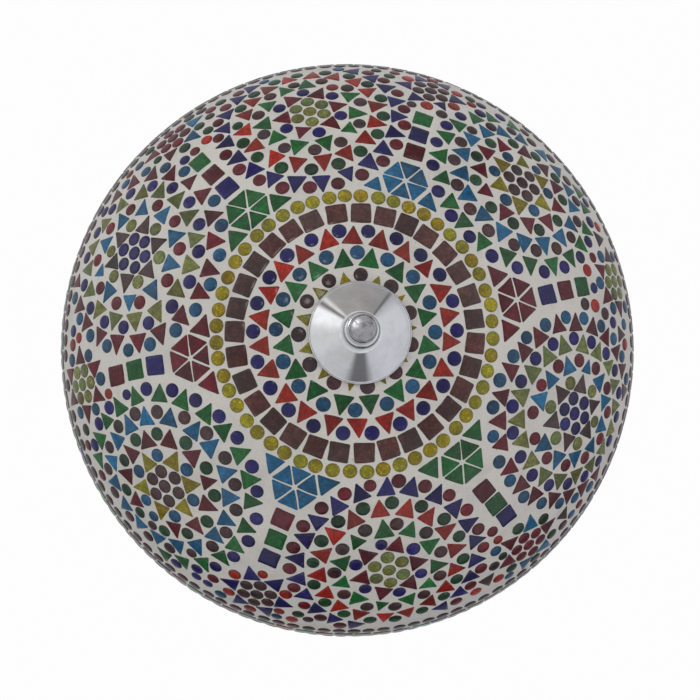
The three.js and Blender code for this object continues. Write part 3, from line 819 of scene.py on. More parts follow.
# Kind, arc from the crown, azimuth, and for each ring its count and the angle of its first triangle.
ROSETTES = (
    ("night", 141.3, 19.3, ((6, 25), (12, 0), (18, 18), (23, 1))),
    ("poppy", 139.8, 81.6, ((6, 20), (11, 14), (17, 9), (23, 12))),
    ("moss", 142.6, 141.4, ((6, 30), (11, 11), (17, 11), (22, 14))),
    ("night", 140.7, 200.5, ((6, 25), (10, 0), (16, 19), (21, 3))),
    ("poppy", 140.3, 258.8, ((6, 25), (11, 5), (17, 9), (23, 9))),
    ("moss", 139.9, 317.5, ((6, 25), (11, 3), (17, 11), (21, 13))),
)
ROSETTE_LIMIT = 189  # arc from the crown beyond which a rosette's rings stop
SMALL_ROSETTE_LIMIT = 192

# Fans between the rosettes: azimuth, arc, colour, the three squares beyond it, inner first, with the
# first one's arc from the crown and their pitch, and the arc of the small rosette beyond those.
FANS = (
    (50.4, 93.4, "green", ("maroon", "green", "navy"), 116.4, 11.7, 173.6),
    (111.4, 91.7, "blue", ("maroon", "green", "navy"), 112.4, 13.8, 171.6),
    (171.0, 92.5, "maroon", ("navy", "green", "maroon"), 115.3, 14.1, 175.6),
    (228.9, 92.0, "green", ("navy", "maroon", "green"), 112.4, 14.2, 178.8),
    (288.2, 91.4, "blue", ("maroon", "navy", "green"), 112.6, 13.8, 173.0),
    (348.2, 93.8, "maroon", ("navy", "maroon", "green"), 115.1, 14.3, 180.0),
)
FAN_RADIUS = 13.5
FAN_INNER_WEDGE = 3  # the wedge that points at the crown is cut shorter
WEDGE_SPREAD = 28.4
SIDE_DISTANCE = 18.0
SIDE_ANGLE = 120
WEDGE_LEAN = 0.93  # how much of the bowl's turn between a wedge and its fan's middle is made good
SMALL_ROSETTES = (
    ("maroon", ("blue", "maroon"), "dark_green"),
    ("mauve", "navy", "red"),
    ("olive", "maroon", "teal"),
)


def lay_crown():
    """The rings about the crown, from the cap outwards."""
    crown_ring(bead, "mauve", 30.4, 11, 14)
    crown_ring(triangle, "yellow", 28.0, 11, 30, base=7.0, height=7.2)
    crown_ring(bead, "teal", 42.6, 16, 0.5)
    crown_ring(triangle, "green", 38.6, 16, 11.4)
    crown_ring(bead, "navy", 55.4, 22, 15.3)
    crown_ring(triangle, "red", 50.9, 22, 7)
    crown_ring(square, "brown", 65.8, 31, 5)
    crown_ring(bead, "yellow", 76.2, 52, 2.5)


def lay_rosette(kind, arc, azimuth, rings):
    middle, *colours = ROSETTE_COLOURS[kind]
    centre = (arc, azimuth)
    cluster(middle, centre, 9.0)
    specs = zip(rings, colours, TRIANGLE_RADII, BEAD_RADII)
    for (count, first), (tips, dots), tip_radius, dot_radius in specs:
        around_centre("cut", tips, centre, tip_radius, count, first, ROSETTE_LIMIT)
        around_centre("bead", dots, centre, dot_radius, count, first + 180 / count, ROSETTE_LIMIT)


def lay_fan(azimuth, fan_arc, colour, squares, first_square, pitch):
    """Six wedges round a point, a triangle at each side, and three squares in a row outwards."""
    centre = (fan_arc, azimuth)
    for k in range(6):
        radius = FAN_RADIUS - (1.0 if k == FAN_INNER_WEDGE else 0)
        wedge = []
        for distance, spread in ((1.0, 0), (radius, WEDGE_SPREAD), (radius, -WEDGE_SPREAD)):
            cos, sin = unit(60 * k + spread)
            wedge.append((distance * cos, distance * sin))
        middle = (sum(p[0] for p in wedge) / 3, sum(p[1] for p in wedge) / 3)
        outline = [(x - middle[0] + jitter(0.15), y - middle[1] + jitter(0.15)) for x, y in wedge]
        heading = math.degrees(math.atan2(middle[1], middle[0]))
        arc, place = step_from(*centre, math.hypot(*middle), heading)
        turn = ((azimuth - place + 180) % 360 - 180) * WEDGE_LEAN
        lay("cut", colour, arc, place, outline, turn, gap=0.05)
    for side in (-1, 1):
        place = step_from(*centre, SIDE_DISTANCE, side * SIDE_ANGLE)
        triangle(colour, *place, turn_from(centre, place), base=12.9, height=12.4)
    for k, square_colour in enumerate(squares):
        square(square_colour, first_square + pitch * k, azimuth - 0.3 * k)


def lay_small_rosette(index, arc, azimuth):
    middle, tips, dots = SMALL_ROSETTES[index % 3]
    centre = (arc, azimuth)
    cluster(middle, centre, 8.8)
    around_centre("cut", tips, centre, 16.0, 6, 30, SMALL_ROSETTE_LIMIT)
    around_centre("bead", dots, centre, 18.4, 6, 0, SMALL_ROSETTE_LIMIT)


LOOSE_BEADS = (("red", "dark_green"), ("mauve", "teal"), ("red", "mauve"))


def lay_fillers(index, azimuth):
    """Loose beads and tips in the gaps between a fan's squares and the rosettes."""
    inner, outer = LOOSE_BEADS[index % 3]
    for side in (-1, 1):
        bead(inner, 152, azimuth + side * 4.3)
        bead(outer, 160.5, azimuth + side * 6.2)
        triangle("mauve", 178, azimuth + side * 10.6)
        bead("maroon", 104, azimuth + side * 7.6)
        bead("teal", 188.0, azimuth + side * 6.0)


def fitting(arc, pitch):
    """How many tiles fit in a full ring at a pitch."""
    return round(2 * math.pi * outline_at(arc)[0] / pitch)


# What makes each kind of tile in a band, and how far it may be turned.
BAND_TILES = {"bead": (bead_outline, 0), "square": (square_outline, 2), "triangle": (triangle_outline, 5)}


def band(kind, colours, arc, pitch, first=0.0):
    """A full ring near the rim, with as many tiles as fit at a pitch."""
    count = fitting(arc, pitch)
    make, swing = BAND_TILES[kind]
    for k in range(count):
        azimuth = first + 360 * k / count + jitter(0.15)
        colour = pick(colours)
        outline = make()
        turn = jitter(swing) if swing else 0.0
        lay("bead" if kind == "bead" else "cut", colour, arc, azimuth, outline, turn, shift=False)


def lay_border():
    """Squares under the last row of beads, and the rows from there to the rim."""
    mixed = ("maroon", "green", "navy", "mauve")
    for azimuth, *_ in FANS:
        for side in (-1, 1):
            for away in (9.0, 13.2):
                place = azimuth + side * away
                lay("cut", pick(mixed), 188.0, place, square_outline(10.6), jitter(3), shift=False)
            lay("cut", "mauve", 187.0, azimuth + side * 17.4, triangle_outline(), 180, shift=False)
    tips_arc, tips_pitch = 228.4, 13.4
    band("bead", "mauve", 197.5, 9.4)
    band("square", mixed, 208.2, 12.4)
    band("bead", "yellow", 218.9, 9.2)
    band("triangle", ("red", "green", "navy"), tips_arc, tips_pitch)
    band("bead", "teal", tips_arc + 4, tips_pitch, 180 / fitting(tips_arc, tips_pitch))
    band("square", mixed, 243.2, 12.4)
    band("bead", "mauve", 253.4, 9.4)


SPARE_ROWS = 13
SPARE_FIRST_ARC = 143
SPARE_PITCH = 3.7
SPARE_COLOURS = ("mauve", "teal", "maroon", "dark_green", "navy", "red")


def lay_spares():
    """Beads set wherever the rows about the rosettes left a bare patch."""
    for row in range(SPARE_ROWS):
        arc = SPARE_FIRST_ARC + SPARE_PITCH * row
        count = fitting(arc, 4)
        for k in range(count):
            azimuth = 360 * (k + 0.5 * (row % 2)) / count
            lay("bead", pick(SPARE_COLOURS), arc, azimuth, bead_outline(), gap=0.7, sizes=(0.95, 0.85))


def lay_mosaic():
    lay_crown()
    for fan in FANS:
        lay_fan(*fan[:-1])
    for rosette in ROSETTES:
        lay_rosette(*rosette)
    for index, fan in enumerate(FANS):
        lay_small_rosette(index, fan[-1], fan[0] - 0.8)
        lay_fillers(index, fan[0])
    lay_spares()
    lay_border()


lay_mosaic()

# ---- mosaic: tiles ----

TILE_TOP_INSET = 0.55
TILE_BOTTOM_INSET = 2.2
TILE_BEVEL = 0.22
TILE_HARD_EDGE = 28
BEAD_TOP_INSET = 0.2
BEAD_EDGE_INSET = 0.82
BEAD_SEGMENTS = 28
# A bead's dome in rings: share of the radius, share of the rise, and how near the rim it counts as.
DOME = ((0.3, 0.97, 0.0), (0.62, 0.86, 0.1), (0.84, 0.66, 0.35), (0.95, 0.4, 0.75), (1.0, 0.0, 1.0))


class TileMesh:
    """The tiles of one colour and kind, gathered in one mesh with a tint and a rim value."""

    def __init__(self):
        self.vertices, self.faces, self.tints, self.rims = [], [], [], []

    def ring(self, tile, flat, inset, tint, rim, tilt=(0.0, 0.0)):
        """A ring of points at a depth under the tile's own tangent plane."""
        first = len(self.vertices)
        along, across = tile["sag"]
        for p in flat:
            fall = along * p.x ** 2 + across * p.y ** 2
            depth = inset + tilt[0] * p.x + tilt[1] * p.y + fall
            side = tile["outward"] * p.x + tile["around"] * p.y
            self.vertices.append(tile["centre"] + side - tile["normal"] * depth)
        self.tints += [tint] * len(flat)
        self.rims += [rim] * len(flat)
        return list(range(first, len(self.vertices)))

    def join(self, one, other):
        for i in range(len(one)):
            self.faces.append([one[i - 1], one[i], other[i], other[i - 1]])

    def add_cut(self, tile):
        """A flat piece of sheet glass with slightly bowed sides and a nipped top edge."""
        tint = rng.random()
        tilt = (jitter(0.015), jitter(0.015))
        corners = tile["flat"]
        outline = []
        for i, corner in enumerate(corners):
            following = corners[(i + 1) % len(corners)]
            edge = following - corner
            across = Vector((edge.y, -edge.x)).normalized()
            outline.append(corner.lerp(following, 0.06))
            outline.append(corner.lerp(following, 0.5) + across * jitter(0.22))
            outline.append(corner.lerp(following, 0.94))
        inner = [p * (1 - 2.2 * TILE_BEVEL / max(p.length, 3)) for p in outline]
        core = [p * 0.55 for p in outline]
        middle = self.ring(tile, core, TILE_TOP_INSET, tint, 0.0, tilt)
        top = self.ring(tile, inner, TILE_TOP_INSET, tint, 0.45, tilt)
        edge = self.ring(tile, outline, TILE_TOP_INSET + TILE_BEVEL, tint, 1.0, tilt)
        bottom = self.ring(tile, outline, TILE_BOTTOM_INSET, tint, 1.0)
        self.faces.append(middle)
        self.join(middle, top)
        self.join(top, edge)
        self.join(edge, bottom)
        self.faces.append(bottom[::-1])

    def add_bead(self, tile):
        """A round cast bead with a low dome."""
        tint = rng.random()
        tilt = (jitter(0.02), jitter(0.02))
        radius = tile["flat"][0].length
        rise = BEAD_EDGE_INSET - BEAD_TOP_INSET
        circle = [Vector(unit(360 * k / BEAD_SEGMENTS)) * radius for k in range(BEAD_SEGMENTS)]
        rings = []
        for share, height, rim in DOME:
            flat = [p * share for p in circle]
            rings.append(self.ring(tile, flat, BEAD_EDGE_INSET - rise * height, tint, rim, tilt))
        rings.append(self.ring(tile, circle, TILE_BOTTOM_INSET, tint, 1.0))
        self.faces.append(rings[0])
        for one, other in zip(rings, rings[1:]):
            self.join(one, other)
        self.faces.append(rings[-1][::-1])


def make_tiles():
    meshes = {}
    for tile in laid:
        mesh = meshes.setdefault((tile["kind"], tile["colour"]), TileMesh())
        add = mesh.add_bead if tile["kind"] == "bead" else mesh.add_cut
        add(tile)
    for (kind, colour), mesh in sorted(meshes.items()):
        name = f"{colour}_{'beads' if kind == 'bead' else 'tiles'}"
        look = BEAD_GLASS if kind == "bead" else CUT_GLASS
        material = glass_material(f"glass_{name}", linear(*GLASS_COLOURS[colour]), look)
        piece = mesh_piece(name, mesh.vertices, mesh.faces, material)
        for attribute, values in (("tint", mesh.tints), ("rim", mesh.rims)):
            layer = piece.data.attributes.new(attribute, "FLOAT", "POINT")
            layer.data.foreach_set("value", values)
        keep_edges(piece, TILE_HARD_EDGE)
        place_piece(piece, "shade", "mosaic", "mosaic_layer")


make_tiles()

# ---- cap and finial ----

CAP_RADIUS, CAP_HUB_Z, CAP_RIM_Z = cad_size("chrome_cap")
CAP_HUB_RADIUS = 9.6
CAP_ROLL = 0.55
COLLAR_RADIUS = 9.5
KNOB_RADIUS = 7.2
KNOB_BORE_DEPTH = 7


def make_cap():
    """A spun cone with a rolled rim, a groove and a narrow step inside it."""
    profile = arc_points(CAP_RADIUS - CAP_ROLL, CAP_RIM_Z - CAP_ROLL, CAP_ROLL, 90, -75, 10)
    groove = ((-0.7, -0.98), (-0.8, -0.78), (-0.92, -1.08), (-1.1, -1.18), (-1.3, -1.24))
    profile += offset(CAP_RADIUS, CAP_RIM_Z, *groove)
    start = Vector((CAP_RADIUS - 1.45, CAP_RIM_Z - 1.36))
    end = Vector((CAP_HUB_RADIUS + 0.5, CAP_HUB_Z + 0.25))
    profile += [tuple(start.lerp(end, k / 8)) for k in range(9)]
    profile += [(CAP_HUB_RADIUS - 0.2, CAP_HUB_Z), (BORE_RADIUS, CAP_HUB_Z)]
    profile += [(BORE_RADIUS, CAP_HUB_Z + 1.2), (CAP_HUB_RADIUS - 0.4, CAP_HUB_Z + 1.2)]
    profile += [(CAP_RADIUS - 1.9, CAP_RIM_Z - 0.3)]
    return turned("cap", profile, CHROME, 240)


def make_collar():
    r = COLLAR_RADIUS
    _, low, top = cad_size("finial_collar")
    swell = min(2.4, top - low - 0.3)
    profile = [(BORE_RADIUS, top), (r - 0.3, top), (r - 0.08, top - 0.1)]
    profile += arc_points(r - swell, low + swell, swell, 0, -84, 12)
    return turned("collar", profile + [(BORE_RADIUS, low)], CHROME)


def make_knob():
    """A turned knob: a neck, a rounded barrel, and a low domed face with a groove round it."""
    r = KNOB_RADIUS
    _, low, top = cad_size("finial_knob")
    face = [(share, 0.8 * share ** 2.4) for share in (0, 0.2, 0.4, 0.6, 0.76, 0.84)]
    face += [(0.865, 0.64), (0.885, 0.95), (0.905, 0.7), (0.94, 0.85), (0.98, 1.4), (1, 2.3)]
    profile = [(r * share, low + rise) for share, rise in face]
    profile += offset(r, top, (0, -3.4), (-0.25, -2.9), (-0.85, -2.3), (-0.9, -1.8),
                      (-0.7, -1.3), (-0.2, -0.8), (-0.3, -0.2), (-0.7, 0))
    profile += [(BORE_RADIUS, top), (BORE_RADIUS, top - KNOB_BORE_DEPTH), (0, top - KNOB_BORE_DEPTH)]
    return turned("knob", profile, BRUSHED_PAINTED_DARK)


place_piece(make_cap(), "shade", "chrome", "chrome_cap")
place_piece(make_collar(), "finial", "chrome", "finial_collar")
place_piece(make_knob(), "finial", "chrome", "finial_knob")

# ---- bowl: glass, washers and gasket ----

GASKET_INNER = 170


def make_glass_bowl():
    first = float(np.interp(GLASS_HOLE_RADIUS, RADIUS, ARC))
    arcs = [first + (RIM_ARC - first) * i / 60 for i in range(61)]
    sides = []
    for inset in (MOSAIC_THICKNESS + GAP, MOSAIC_THICKNESS + GAP + GLASS_THICKNESS):
        side = (inset_point(arc, inset) for arc in arcs)
        sides.append([(max(r, GLASS_HOLE_RADIUS), min(z, RIM_Z - 0.5)) for r, z in side])
    return turned("blown_bowl", shell_profile(*sides), CLEAR, 180)


def make_gasket():
    """A flat ring with two shallow grooves in its underside."""
    outer, low, high = cad_size("rim_gasket")
    groove = ((2.4, 0), (2.7, 0.35), (4.4, 0.35), (4.7, 0))
    profile = offset(GASKET_INNER, low, (0, 0), *groove)
    profile += offset(outer, low, *((-across, rise) for across, rise in reversed(groove)), (0, 0))
    profile += [(outer, high), (GASKET_INNER, high)]
    return turned("gasket", rounded(profile, 0.25), RUBBER, 180)


def make_washer(name, node, material, corner):
    outer, low, high = cad_size(node)
    profile = [(BORE_RADIUS, low), (outer, low), (outer, high), (BORE_RADIUS, high)]
    return turned(name, rounded(profile, corner), material, 64)


place_piece(make_glass_bowl(), "shade", "clear_glass", "glass_bowl")
place_piece(make_gasket(), "root", "rubber", "rim_gasket")
# Piece, CAD node, material, finish and how far the corners are rounded.
WASHERS = (
    ("inner_rubber", "inner_rubber_washer", RUBBER, "rubber", 0.5),
    ("inner_steel", "inner_steel_washer", ZINC, "zinc_steel", 0.25),
    ("outer_rubber", "outer_rubber_washer", RUBBER, "rubber", 0.5),
)
for name, node, material, finish_slot, corner in WASHERS:
    place_piece(make_washer(name, node, material, corner), "shade", finish_slot, node)

# ---- ceiling pan ----

SHEET = 1.2
PAN_BACK_RADIUS = 150
PAN_WALL_RADIUS = 166
PAN_RADIUS, PAN_LOW, _ = cad_size("ceiling_pan")
SWAGE = ((124, 0), (126, -0.35), (130, -0.35), (132, 0))
KEYHOLE_X = 90
CABLE_HOLE = (0, 104)
CABLE_HOLE_RADIUS = 8
KEYHOLE_LENGTH = 10
KEYHOLE_SLOT = 2.6  # half its width
KEYHOLE_HEAD = 5
CUT_HEIGHTS = (-6, 4)  # well through the sheet
PAN_HARD_EDGE = 20


def make_pan():
    """A spun dish with soft bends, a swaged ring in its back, and a flange over the bowl's rim."""
    profile = [(0, 0), *SWAGE, (PAN_BACK_RADIUS, 0), (PAN_WALL_RADIUS, PAN_LOW + SHEET)]
    profile += [(PAN_RADIUS, PAN_LOW + SHEET), (PAN_RADIUS, PAN_LOW), (PAN_WALL_RADIUS - SHEET, PAN_LOW)]
    profile += [(PAN_BACK_RADIUS - SHEET, -SHEET), *((r, z - SHEET) for r, z in reversed(SWAGE))]
    profile += [(0, -SHEET)]
    profile = [(r, min(z, 0)) for r, z in rounded(profile, 1.6, 4)]
    pan = turned("pan", profile, ENAMEL, 180)
    holes = [arc_points(*CABLE_HOLE, CABLE_HOLE_RADIUS, 0, 360, 48)[:-1]]
    for x in (-KEYHOLE_X, KEYHOLE_X):
        right, left = x + KEYHOLE_SLOT, x - KEYHOLE_SLOT
        head = arc_points(x, 0, KEYHOLE_HEAD, 122, 418, 40)[:-1]
        end = arc_points(x, KEYHOLE_LENGTH, KEYHOLE_SLOT, 0, 180, 16)[:-1]
        slot = [(right, 4.3), (right, KEYHOLE_LENGTH), *end, (left, KEYHOLE_LENGTH), (left, 4.3)]
        holes.append(head + slot)
    cut(pan, [prism(hole, *CUT_HEIGHTS) for hole in holes])
    keep_edges(pan, PAN_HARD_EDGE)
    return pan


def make_grommet():
    _, bottom, top = cad_size("cable_grommet")
    neck = CABLE_HOLE_RADIUS - GAP
    lip_top = -SHEET - GAP
    profile = [(neck - 2.2, bottom), (CABLE_HOLE_RADIUS + 2, bottom), (CABLE_HOLE_RADIUS + 3, lip_top)]
    profile += [(neck, lip_top), (neck, top), (neck - 2.2, top)]
    grommet = turned("grommet", rounded(profile, 0.5), RUBBER, 64)
    return moved(grommet, Matrix.Translation((*CABLE_HOLE, 0)))


place_piece(make_pan(), "root", "white_enamel", "ceiling_pan")
place_piece(make_grommet(), "root", "rubber", "cable_grommet")

# ---- rod and nuts ----

ROD_PITCH = 1.5
ROD_THREAD_DEPTH = 0.45
ROD_BORE = 3.5


def thread(radius, low, high, pitch, depth, angle, steps, origin=0.0):
    """Points up the side of a thread, whose crest climbs one pitch in a turn."""
    heights = (low + (high - low) * k / steps for k in range(steps + 1))
    return [(radius - depth * ripple(2 * math.pi * (z - origin) / pitch - angle), z) for z in heights]


def rod_section(angle):
    """A threaded tube with its ends turned down to the root of the thread."""
    _, low, high = cad_size("centre_rod")
    count = max(4, round((high - low) / ROD_PITCH * 4))
    side = thread(ROD_RADIUS, low, high, ROD_PITCH, ROD_THREAD_DEPTH, angle, count, low)
    root = ROD_RADIUS - ROD_THREAD_DEPTH
    return [(root, low), *side[1:-1], (root, high), (ROD_BORE, high), (ROD_BORE, low)]


def nut_section(across_flats, bore, low, high):
    """Profile function of a hexagon nut with chamfered corners."""
    flat = across_flats / 2

    def section(angle):
        reach = flat / math.cos((angle + math.pi / 6) % (math.pi / 3) - math.pi / 6)
        rise = max(0.0, reach - flat * 0.97) * 0.5
        return [
            (bore, low + 0.4), (bore + 0.4, low), (flat * 0.93, low), (reach, low + rise + 0.05),
            (reach, high - rise - 0.05), (flat * 0.93, high), (bore + 0.4, high), (bore, high - 0.4),
        ]

    return section


rod = shaped("threaded_rod", rod_section, ZINC, 36, 60)
place_piece(rod, "root", "zinc_steel", "centre_rod")

for node in ("upper_rod_nut", "lower_rod_nut", "stop_nut"):
    _, low, high = cad_size(node)
    nut = shaped(node + "_body", nut_section(17, BORE_RADIUS, low, high), ZINC, 72)
    place_piece(nut, "root", "zinc_steel", node)

# ---- lamps ----

LAMP_Z = -36
LAMP_ANGLES = (30, 150, 270)
HOLDER_START = 20.3
HOLDER_END = 51.3
HOLDER_FLOOR = 6.5
HOLDER_BORE = 7.5
HOLDER_RADIUS = 14
NIPPLE_RADIUS = 4.8
NIPPLE_START = 13.4
RING_START = 42.3
RING_END = 50.3
RING_RADIUS = 17.5
CONTACT_START = 27.1
CONTACT_END = 30.1
BASE_START = 30.4
BASE_END = 49.4
BASE_RADIUS = 6.9
GLASS_START = 49.7
GLOBE_RADIUS = 22.5
GLOBE_CENTRE = 82.6
GLOBE_SPRING = math.degrees(-0.78)  # where the globe leaves the neck, as an angle at its centre
BULB_WALL = 0.8


def holder_section(angle):
    """A moulded lampholder: grip ribs at its back, a coarse thread for its ring at the front."""
    start, end = HOLDER_START, HOLDER_END
    rib = 0.35 * ripple(24 * angle)
    points = [(0.01, NIPPLE_START), (NIPPLE_RADIUS - 0.3, NIPPLE_START)]
    points += [(NIPPLE_RADIUS, NIPPLE_START + 0.4), (NIPPLE_RADIUS, start)]
    points += offset(HOLDER_RADIUS, start, (-2.4, 0), (-0.9, 0.7), (-0.3, 2), (-rib, 4), (-rib, 13),
                     (0, 14.2), (0, 15.4))
    points += thread(HOLDER_RADIUS - 0.15, start + 15.8, end - 1.4, 2.4, 0.5, angle, 56)
    points += offset(HOLDER_RADIUS, end, (-1, -0.3), (-1.6, 0))
    points += offset(HOLDER_BORE, end, (0.6, 0), (0, -0.6))
    return points + [(HOLDER_BORE, start + HOLDER_FLOOR), (0.01, start + HOLDER_FLOOR)]


def holder_ring_section(angle):
    """A ring with a knurled rim that screws up the holder."""
    knurl = 0.4 * ripple(36 * angle)
    inner = HOLDER_RADIUS + GAP
    points = offset(inner, RING_START, (0, 0.3), (0.3, 0))
    points += offset(RING_RADIUS, RING_START, (-1.6, 0), (-0.9, 0.5), (-knurl, 1.2))
    points += offset(RING_RADIUS, RING_END, (-knurl, -2.4), (-0.2, -1.8), (-0.1, -0.7), (-0.8, 0))
    return points + offset(inner, RING_END, (0.3, 0), (0, -0.3))


def base_section(angle):
    """The bulb's rolled screw base, over its glass insulator."""
    points = [(0.01, BASE_START), (3.6, BASE_START), (4.1, BASE_START + 0.3), (5.9, BASE_START + 2.2)]
    points += thread(BASE_RADIUS, BASE_START + 2.8, BASE_END - 2.2, 2.82, 0.75, angle, 60)
    points += offset(BASE_RADIUS, BASE_END, (-0.5, -1.8), (-0.3, -0.3), (-0.5, 0))
    return points + [(0.01, BASE_END)]


def contact_profile():
    points = offset(0, CONTACT_START, (0, 0), (1.6, 0.15), (2.4, 0.6), (3.1, 2.2))
    return points + [(3.1, CONTACT_END), (0, CONTACT_END)]


def bulb_profile():
    """The bulb's glass, a hollow shell from its neck to its tip."""
    neck = offset(BASE_RADIUS - 0.7, GLASS_START, (0, 0), (0.15, 1.5), (0.9, 4), (2.3, 6.8), (4.6, 10))
    globe = arc_points(0, GLOBE_CENTRE - 0.1, GLOBE_RADIUS, GLOBE_SPRING, 90, 28)
    globe[-1] = (0, globe[-1][1])
    share = 1 - BULB_WALL / GLOBE_RADIUS
    inner = [(r - BULB_WALL, z) for r, z in neck]
    inner += [(r * share, GLOBE_CENTRE + (z - GLOBE_CENTRE) * share) for r, z in globe]
    return neck + globe + inner[::-1]


def make_lamp(number, angle):
    """Makes a lamp's pieces about Z and lays them along the lamp's own axis."""
    turn = Matrix.Rotation(math.radians(angle), 4, "Z") @ Matrix.Rotation(math.pi / 2, 4, "Y")
    place = Matrix.Translation((0, 0, LAMP_Z)) @ turn
    bulb, travel = f"bulb_{number}", f"bulb_travel_{number}"
    nut = nut_section(13, NIPPLE_RADIUS + GAP, 15.1, 17.7)
    pieces = (
        (shaped(f"holder_body_{number}", holder_section, PLASTIC), "root", "holder_plastic", "lampholder"),
        (shaped(f"holder_collar_{number}", holder_ring_section, PLASTIC, 144), "root", "holder_plastic",
         "holder_ring"),
        (shaped(f"nipple_nut_{number}", nut, ZINC, 72), "root", "zinc_steel", "holder_nut"),
        (turned(f"contact_tip_{number}", contact_profile(), BRASS, 48), travel, "brass", "bulb_contact"),
        (shaped(f"screw_base_{number}", base_section, ZINC, 48, 60), bulb, "zinc_steel", "bulb_base"),
        (turned(f"globe_{number}", bulb_profile(), OPAL, 72), bulb, "opal_glass", "bulb_glass"),
    )
    for piece, body, slot, node in pieces:
        place_piece(moved(piece, place), body, slot, f"{node}_{number}")


for number, angle in enumerate(LAMP_ANGLES, 1):
    make_lamp(number, angle)

# ---- the pieces shown as they are in the CAD ----

EDGE_BEVEL = 0.25
EDGE_ANGLE = 50
FINISHES = {
    "zinc_steel": ZINC, "rubber": RUBBER, "holder_plastic": PLASTIC, "brass": BRASS,
    "live_insulation": LIVE, "neutral_insulation": NEUTRAL, "earth_insulation": EARTH,
    "mosaic": GROUT, "clear_glass": CLEAR, "chrome": CHROME, "white_enamel": ENAMEL, "opal_glass": OPAL,
}


def finish_cad_nodes():
    """Gives every CAD node its finish, and softens the edges of those that are shown."""
    for part in frame["record"]["subparts"]:
        node = frame["nodes"][part["node"]]
        node.data.materials.clear()
        node.data.materials.append(FINISHES[part["material_slot"]])
        if node.hide_render or "lead" in node.name:
            continue
        bevel = node.modifiers.new("soft_edges", "BEVEL")
        bevel.width = EDGE_BEVEL * MM
        bevel.segments = 2
        bevel.limit_method = "ANGLE"
        bevel.angle_limit = math.radians(EDGE_ANGLE)


finish_cad_nodes()

# ---- studio ----

FLOOR_Z = -1.0
FLOOR_RADIUS = 1.45
FLOOR_GLOW = (0.02, 0.52)
FLOOR_GLOW_REACH = (1.06, 1.74)  # between these distances from the world's origin the glow grows


def make_floor():
    corners = arc_points(0, 0, FLOOR_RADIUS / MM, 0, 360, 96)[:-1]
    vertices = [(x, y, FLOOR_Z / MM) for x, y in corners]
    floor = mesh_piece("floor", vertices, [list(range(len(vertices)))], floor_material(), smooth=False)


def floor_material():
    """Pale and matt, glowing softly, and more so far out, where it meets the white surroundings."""
    s = Shader("floor")
    s.to("Base Color", s.ramp(s.noise(2), (0.3, (0.84, 0.84, 0.83)), (0.7, (0.88, 0.88, 0.87))))
    distance = s.add("ShaderNodeVectorMath", operation="LENGTH")
    s.link(s.coordinates, distance.inputs[0])
    s.to("Emission Strength", s.range(distance.outputs["Value"], *FLOOR_GLOW, *FLOOR_GLOW_REACH))
    s.set(Roughness=0.8, Emission_Color=(1, 1, 1, 1))
    return s.material


def make_light(name, place, target, size, power, mirrored=False):
    data = bpy.data.lights.new(name, "AREA")
    data.shape = "RECTANGLE"
    data.size, data.size_y = size
    data.energy = power
    light = bpy.data.objects.new(name, data)
    light.location = place
    aim = Vector(target) - Vector(place)
    light.rotation_mode = "QUATERNION"
    light.rotation_quaternion = aim.to_track_quat("-Z", "Y")
    light.visible_glossy = mirrored
    data.spread = math.radians(110)
    bpy.context.scene.collection.objects.link(light)


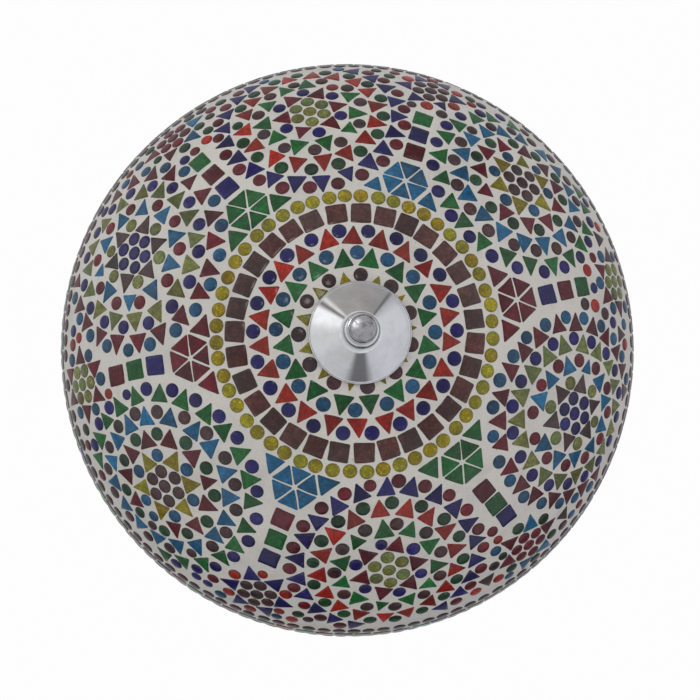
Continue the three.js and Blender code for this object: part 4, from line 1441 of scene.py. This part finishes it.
# The room that lights and mirrors in the piece: azimuth as a share of a turn from world -X, and grey.
ROOM_LOW = (
    (0.0, 0.85), (0.03, 1.05), (0.06, 1.4), (0.1, 1.35), (0.12, (0.12, 0.11, 0.11)),
    (0.135, (1.15, 1.13, 1.1)), (0.15, (0.5, 0.49, 0.47)), (0.25, (0.5, 0.48, 0.46)),
    (0.345, (0.42, 0.41, 0.4)), (0.353, 0.08), (0.362, (0.58, 0.58, 0.6)), (0.4, (0.84, 0.84, 0.88)),
    (0.6, (0.82, 0.82, 0.88)), (0.69, (0.7, 0.7, 0.74)), (0.72, (0.2, 0.2, 0.22)),
    (0.77, (0.2, 0.2, 0.22)), (0.8, (0.7, 0.7, 0.71)), (0.93, (0.85, 0.85, 0.86)),
)
ROOM_HIGH = (
    (0.0, (0.62, 0.63, 0.64)), (0.1, (0.62, 0.63, 0.64)), (0.25, (0.5, 0.5, 0.52)),
    (0.5, (0.36, 0.37, 0.4)), (0.62, (0.14, 0.14, 0.15)), (0.7, (0.06, 0.06, 0.07)),
    (0.84, (0.08, 0.08, 0.09)), (0.92, (0.3, 0.3, 0.32)),
)
ROOM_CEILING = (0.54, 0.54, 0.57)
PAPER = (0.985, 0.985, 0.985, 1)


def make_world():
    """White where the camera sees it, and a soft grey room for everything else."""
    world = bpy.data.worlds.new("studio")
    world.use_nodes = True
    n = Nodes(world.node_tree)
    split = n.add("ShaderNodeSeparateXYZ")
    n.link(n.add("ShaderNodeTexCoord").outputs["Generated"], split.inputs[0])
    x, y, z = split.outputs
    share = n.range(n.math("ARCTAN2", y, x), 0, 1, -math.pi, math.pi)
    low, high = (n.ramp(share, *stops, (1.0, stops[0][1])) for stops in (ROOM_LOW, ROOM_HIGH))
    colour = n.mix(n.range(z, 0, 1, -0.27, 0.0), low, high)
    colour = n.mix(n.range(z, 0, 1, 0.2, 0.65), colour, ROOM_CEILING)
    room = n.add("ShaderNodeBackground")
    n.link(colour, room.inputs["Color"])
    paper = n.tree.nodes["Background"]
    paper.inputs["Color"].default_value = PAPER
    mix = n.add("ShaderNodeMixShader")
    camera_sees = n.add("ShaderNodeLightPath").outputs["Is Camera Ray"]
    n.fill(mix.inputs, (camera_sees, room.outputs[0], paper.outputs[0]))
    n.link(mix.outputs[0], n.tree.nodes["World Output"].inputs["Surface"])
    bpy.context.scene.world = world


make_floor()
make_world()
make_light("key", (-0.02, -0.65, -0.8), (0, 0, -0.08), (0.8, 0.6), 0.4)
make_light("glint", (-0.14, -0.2, -0.9), (0, 0, -0.14), (0.14, 0.14), 0.1, True)
make_light("top", (0.2, -0.4, 1.2), (0, 0, 0), (1.4, 1.4), 4)
bpy.context.scene.view_settings.view_transform = "Standard"
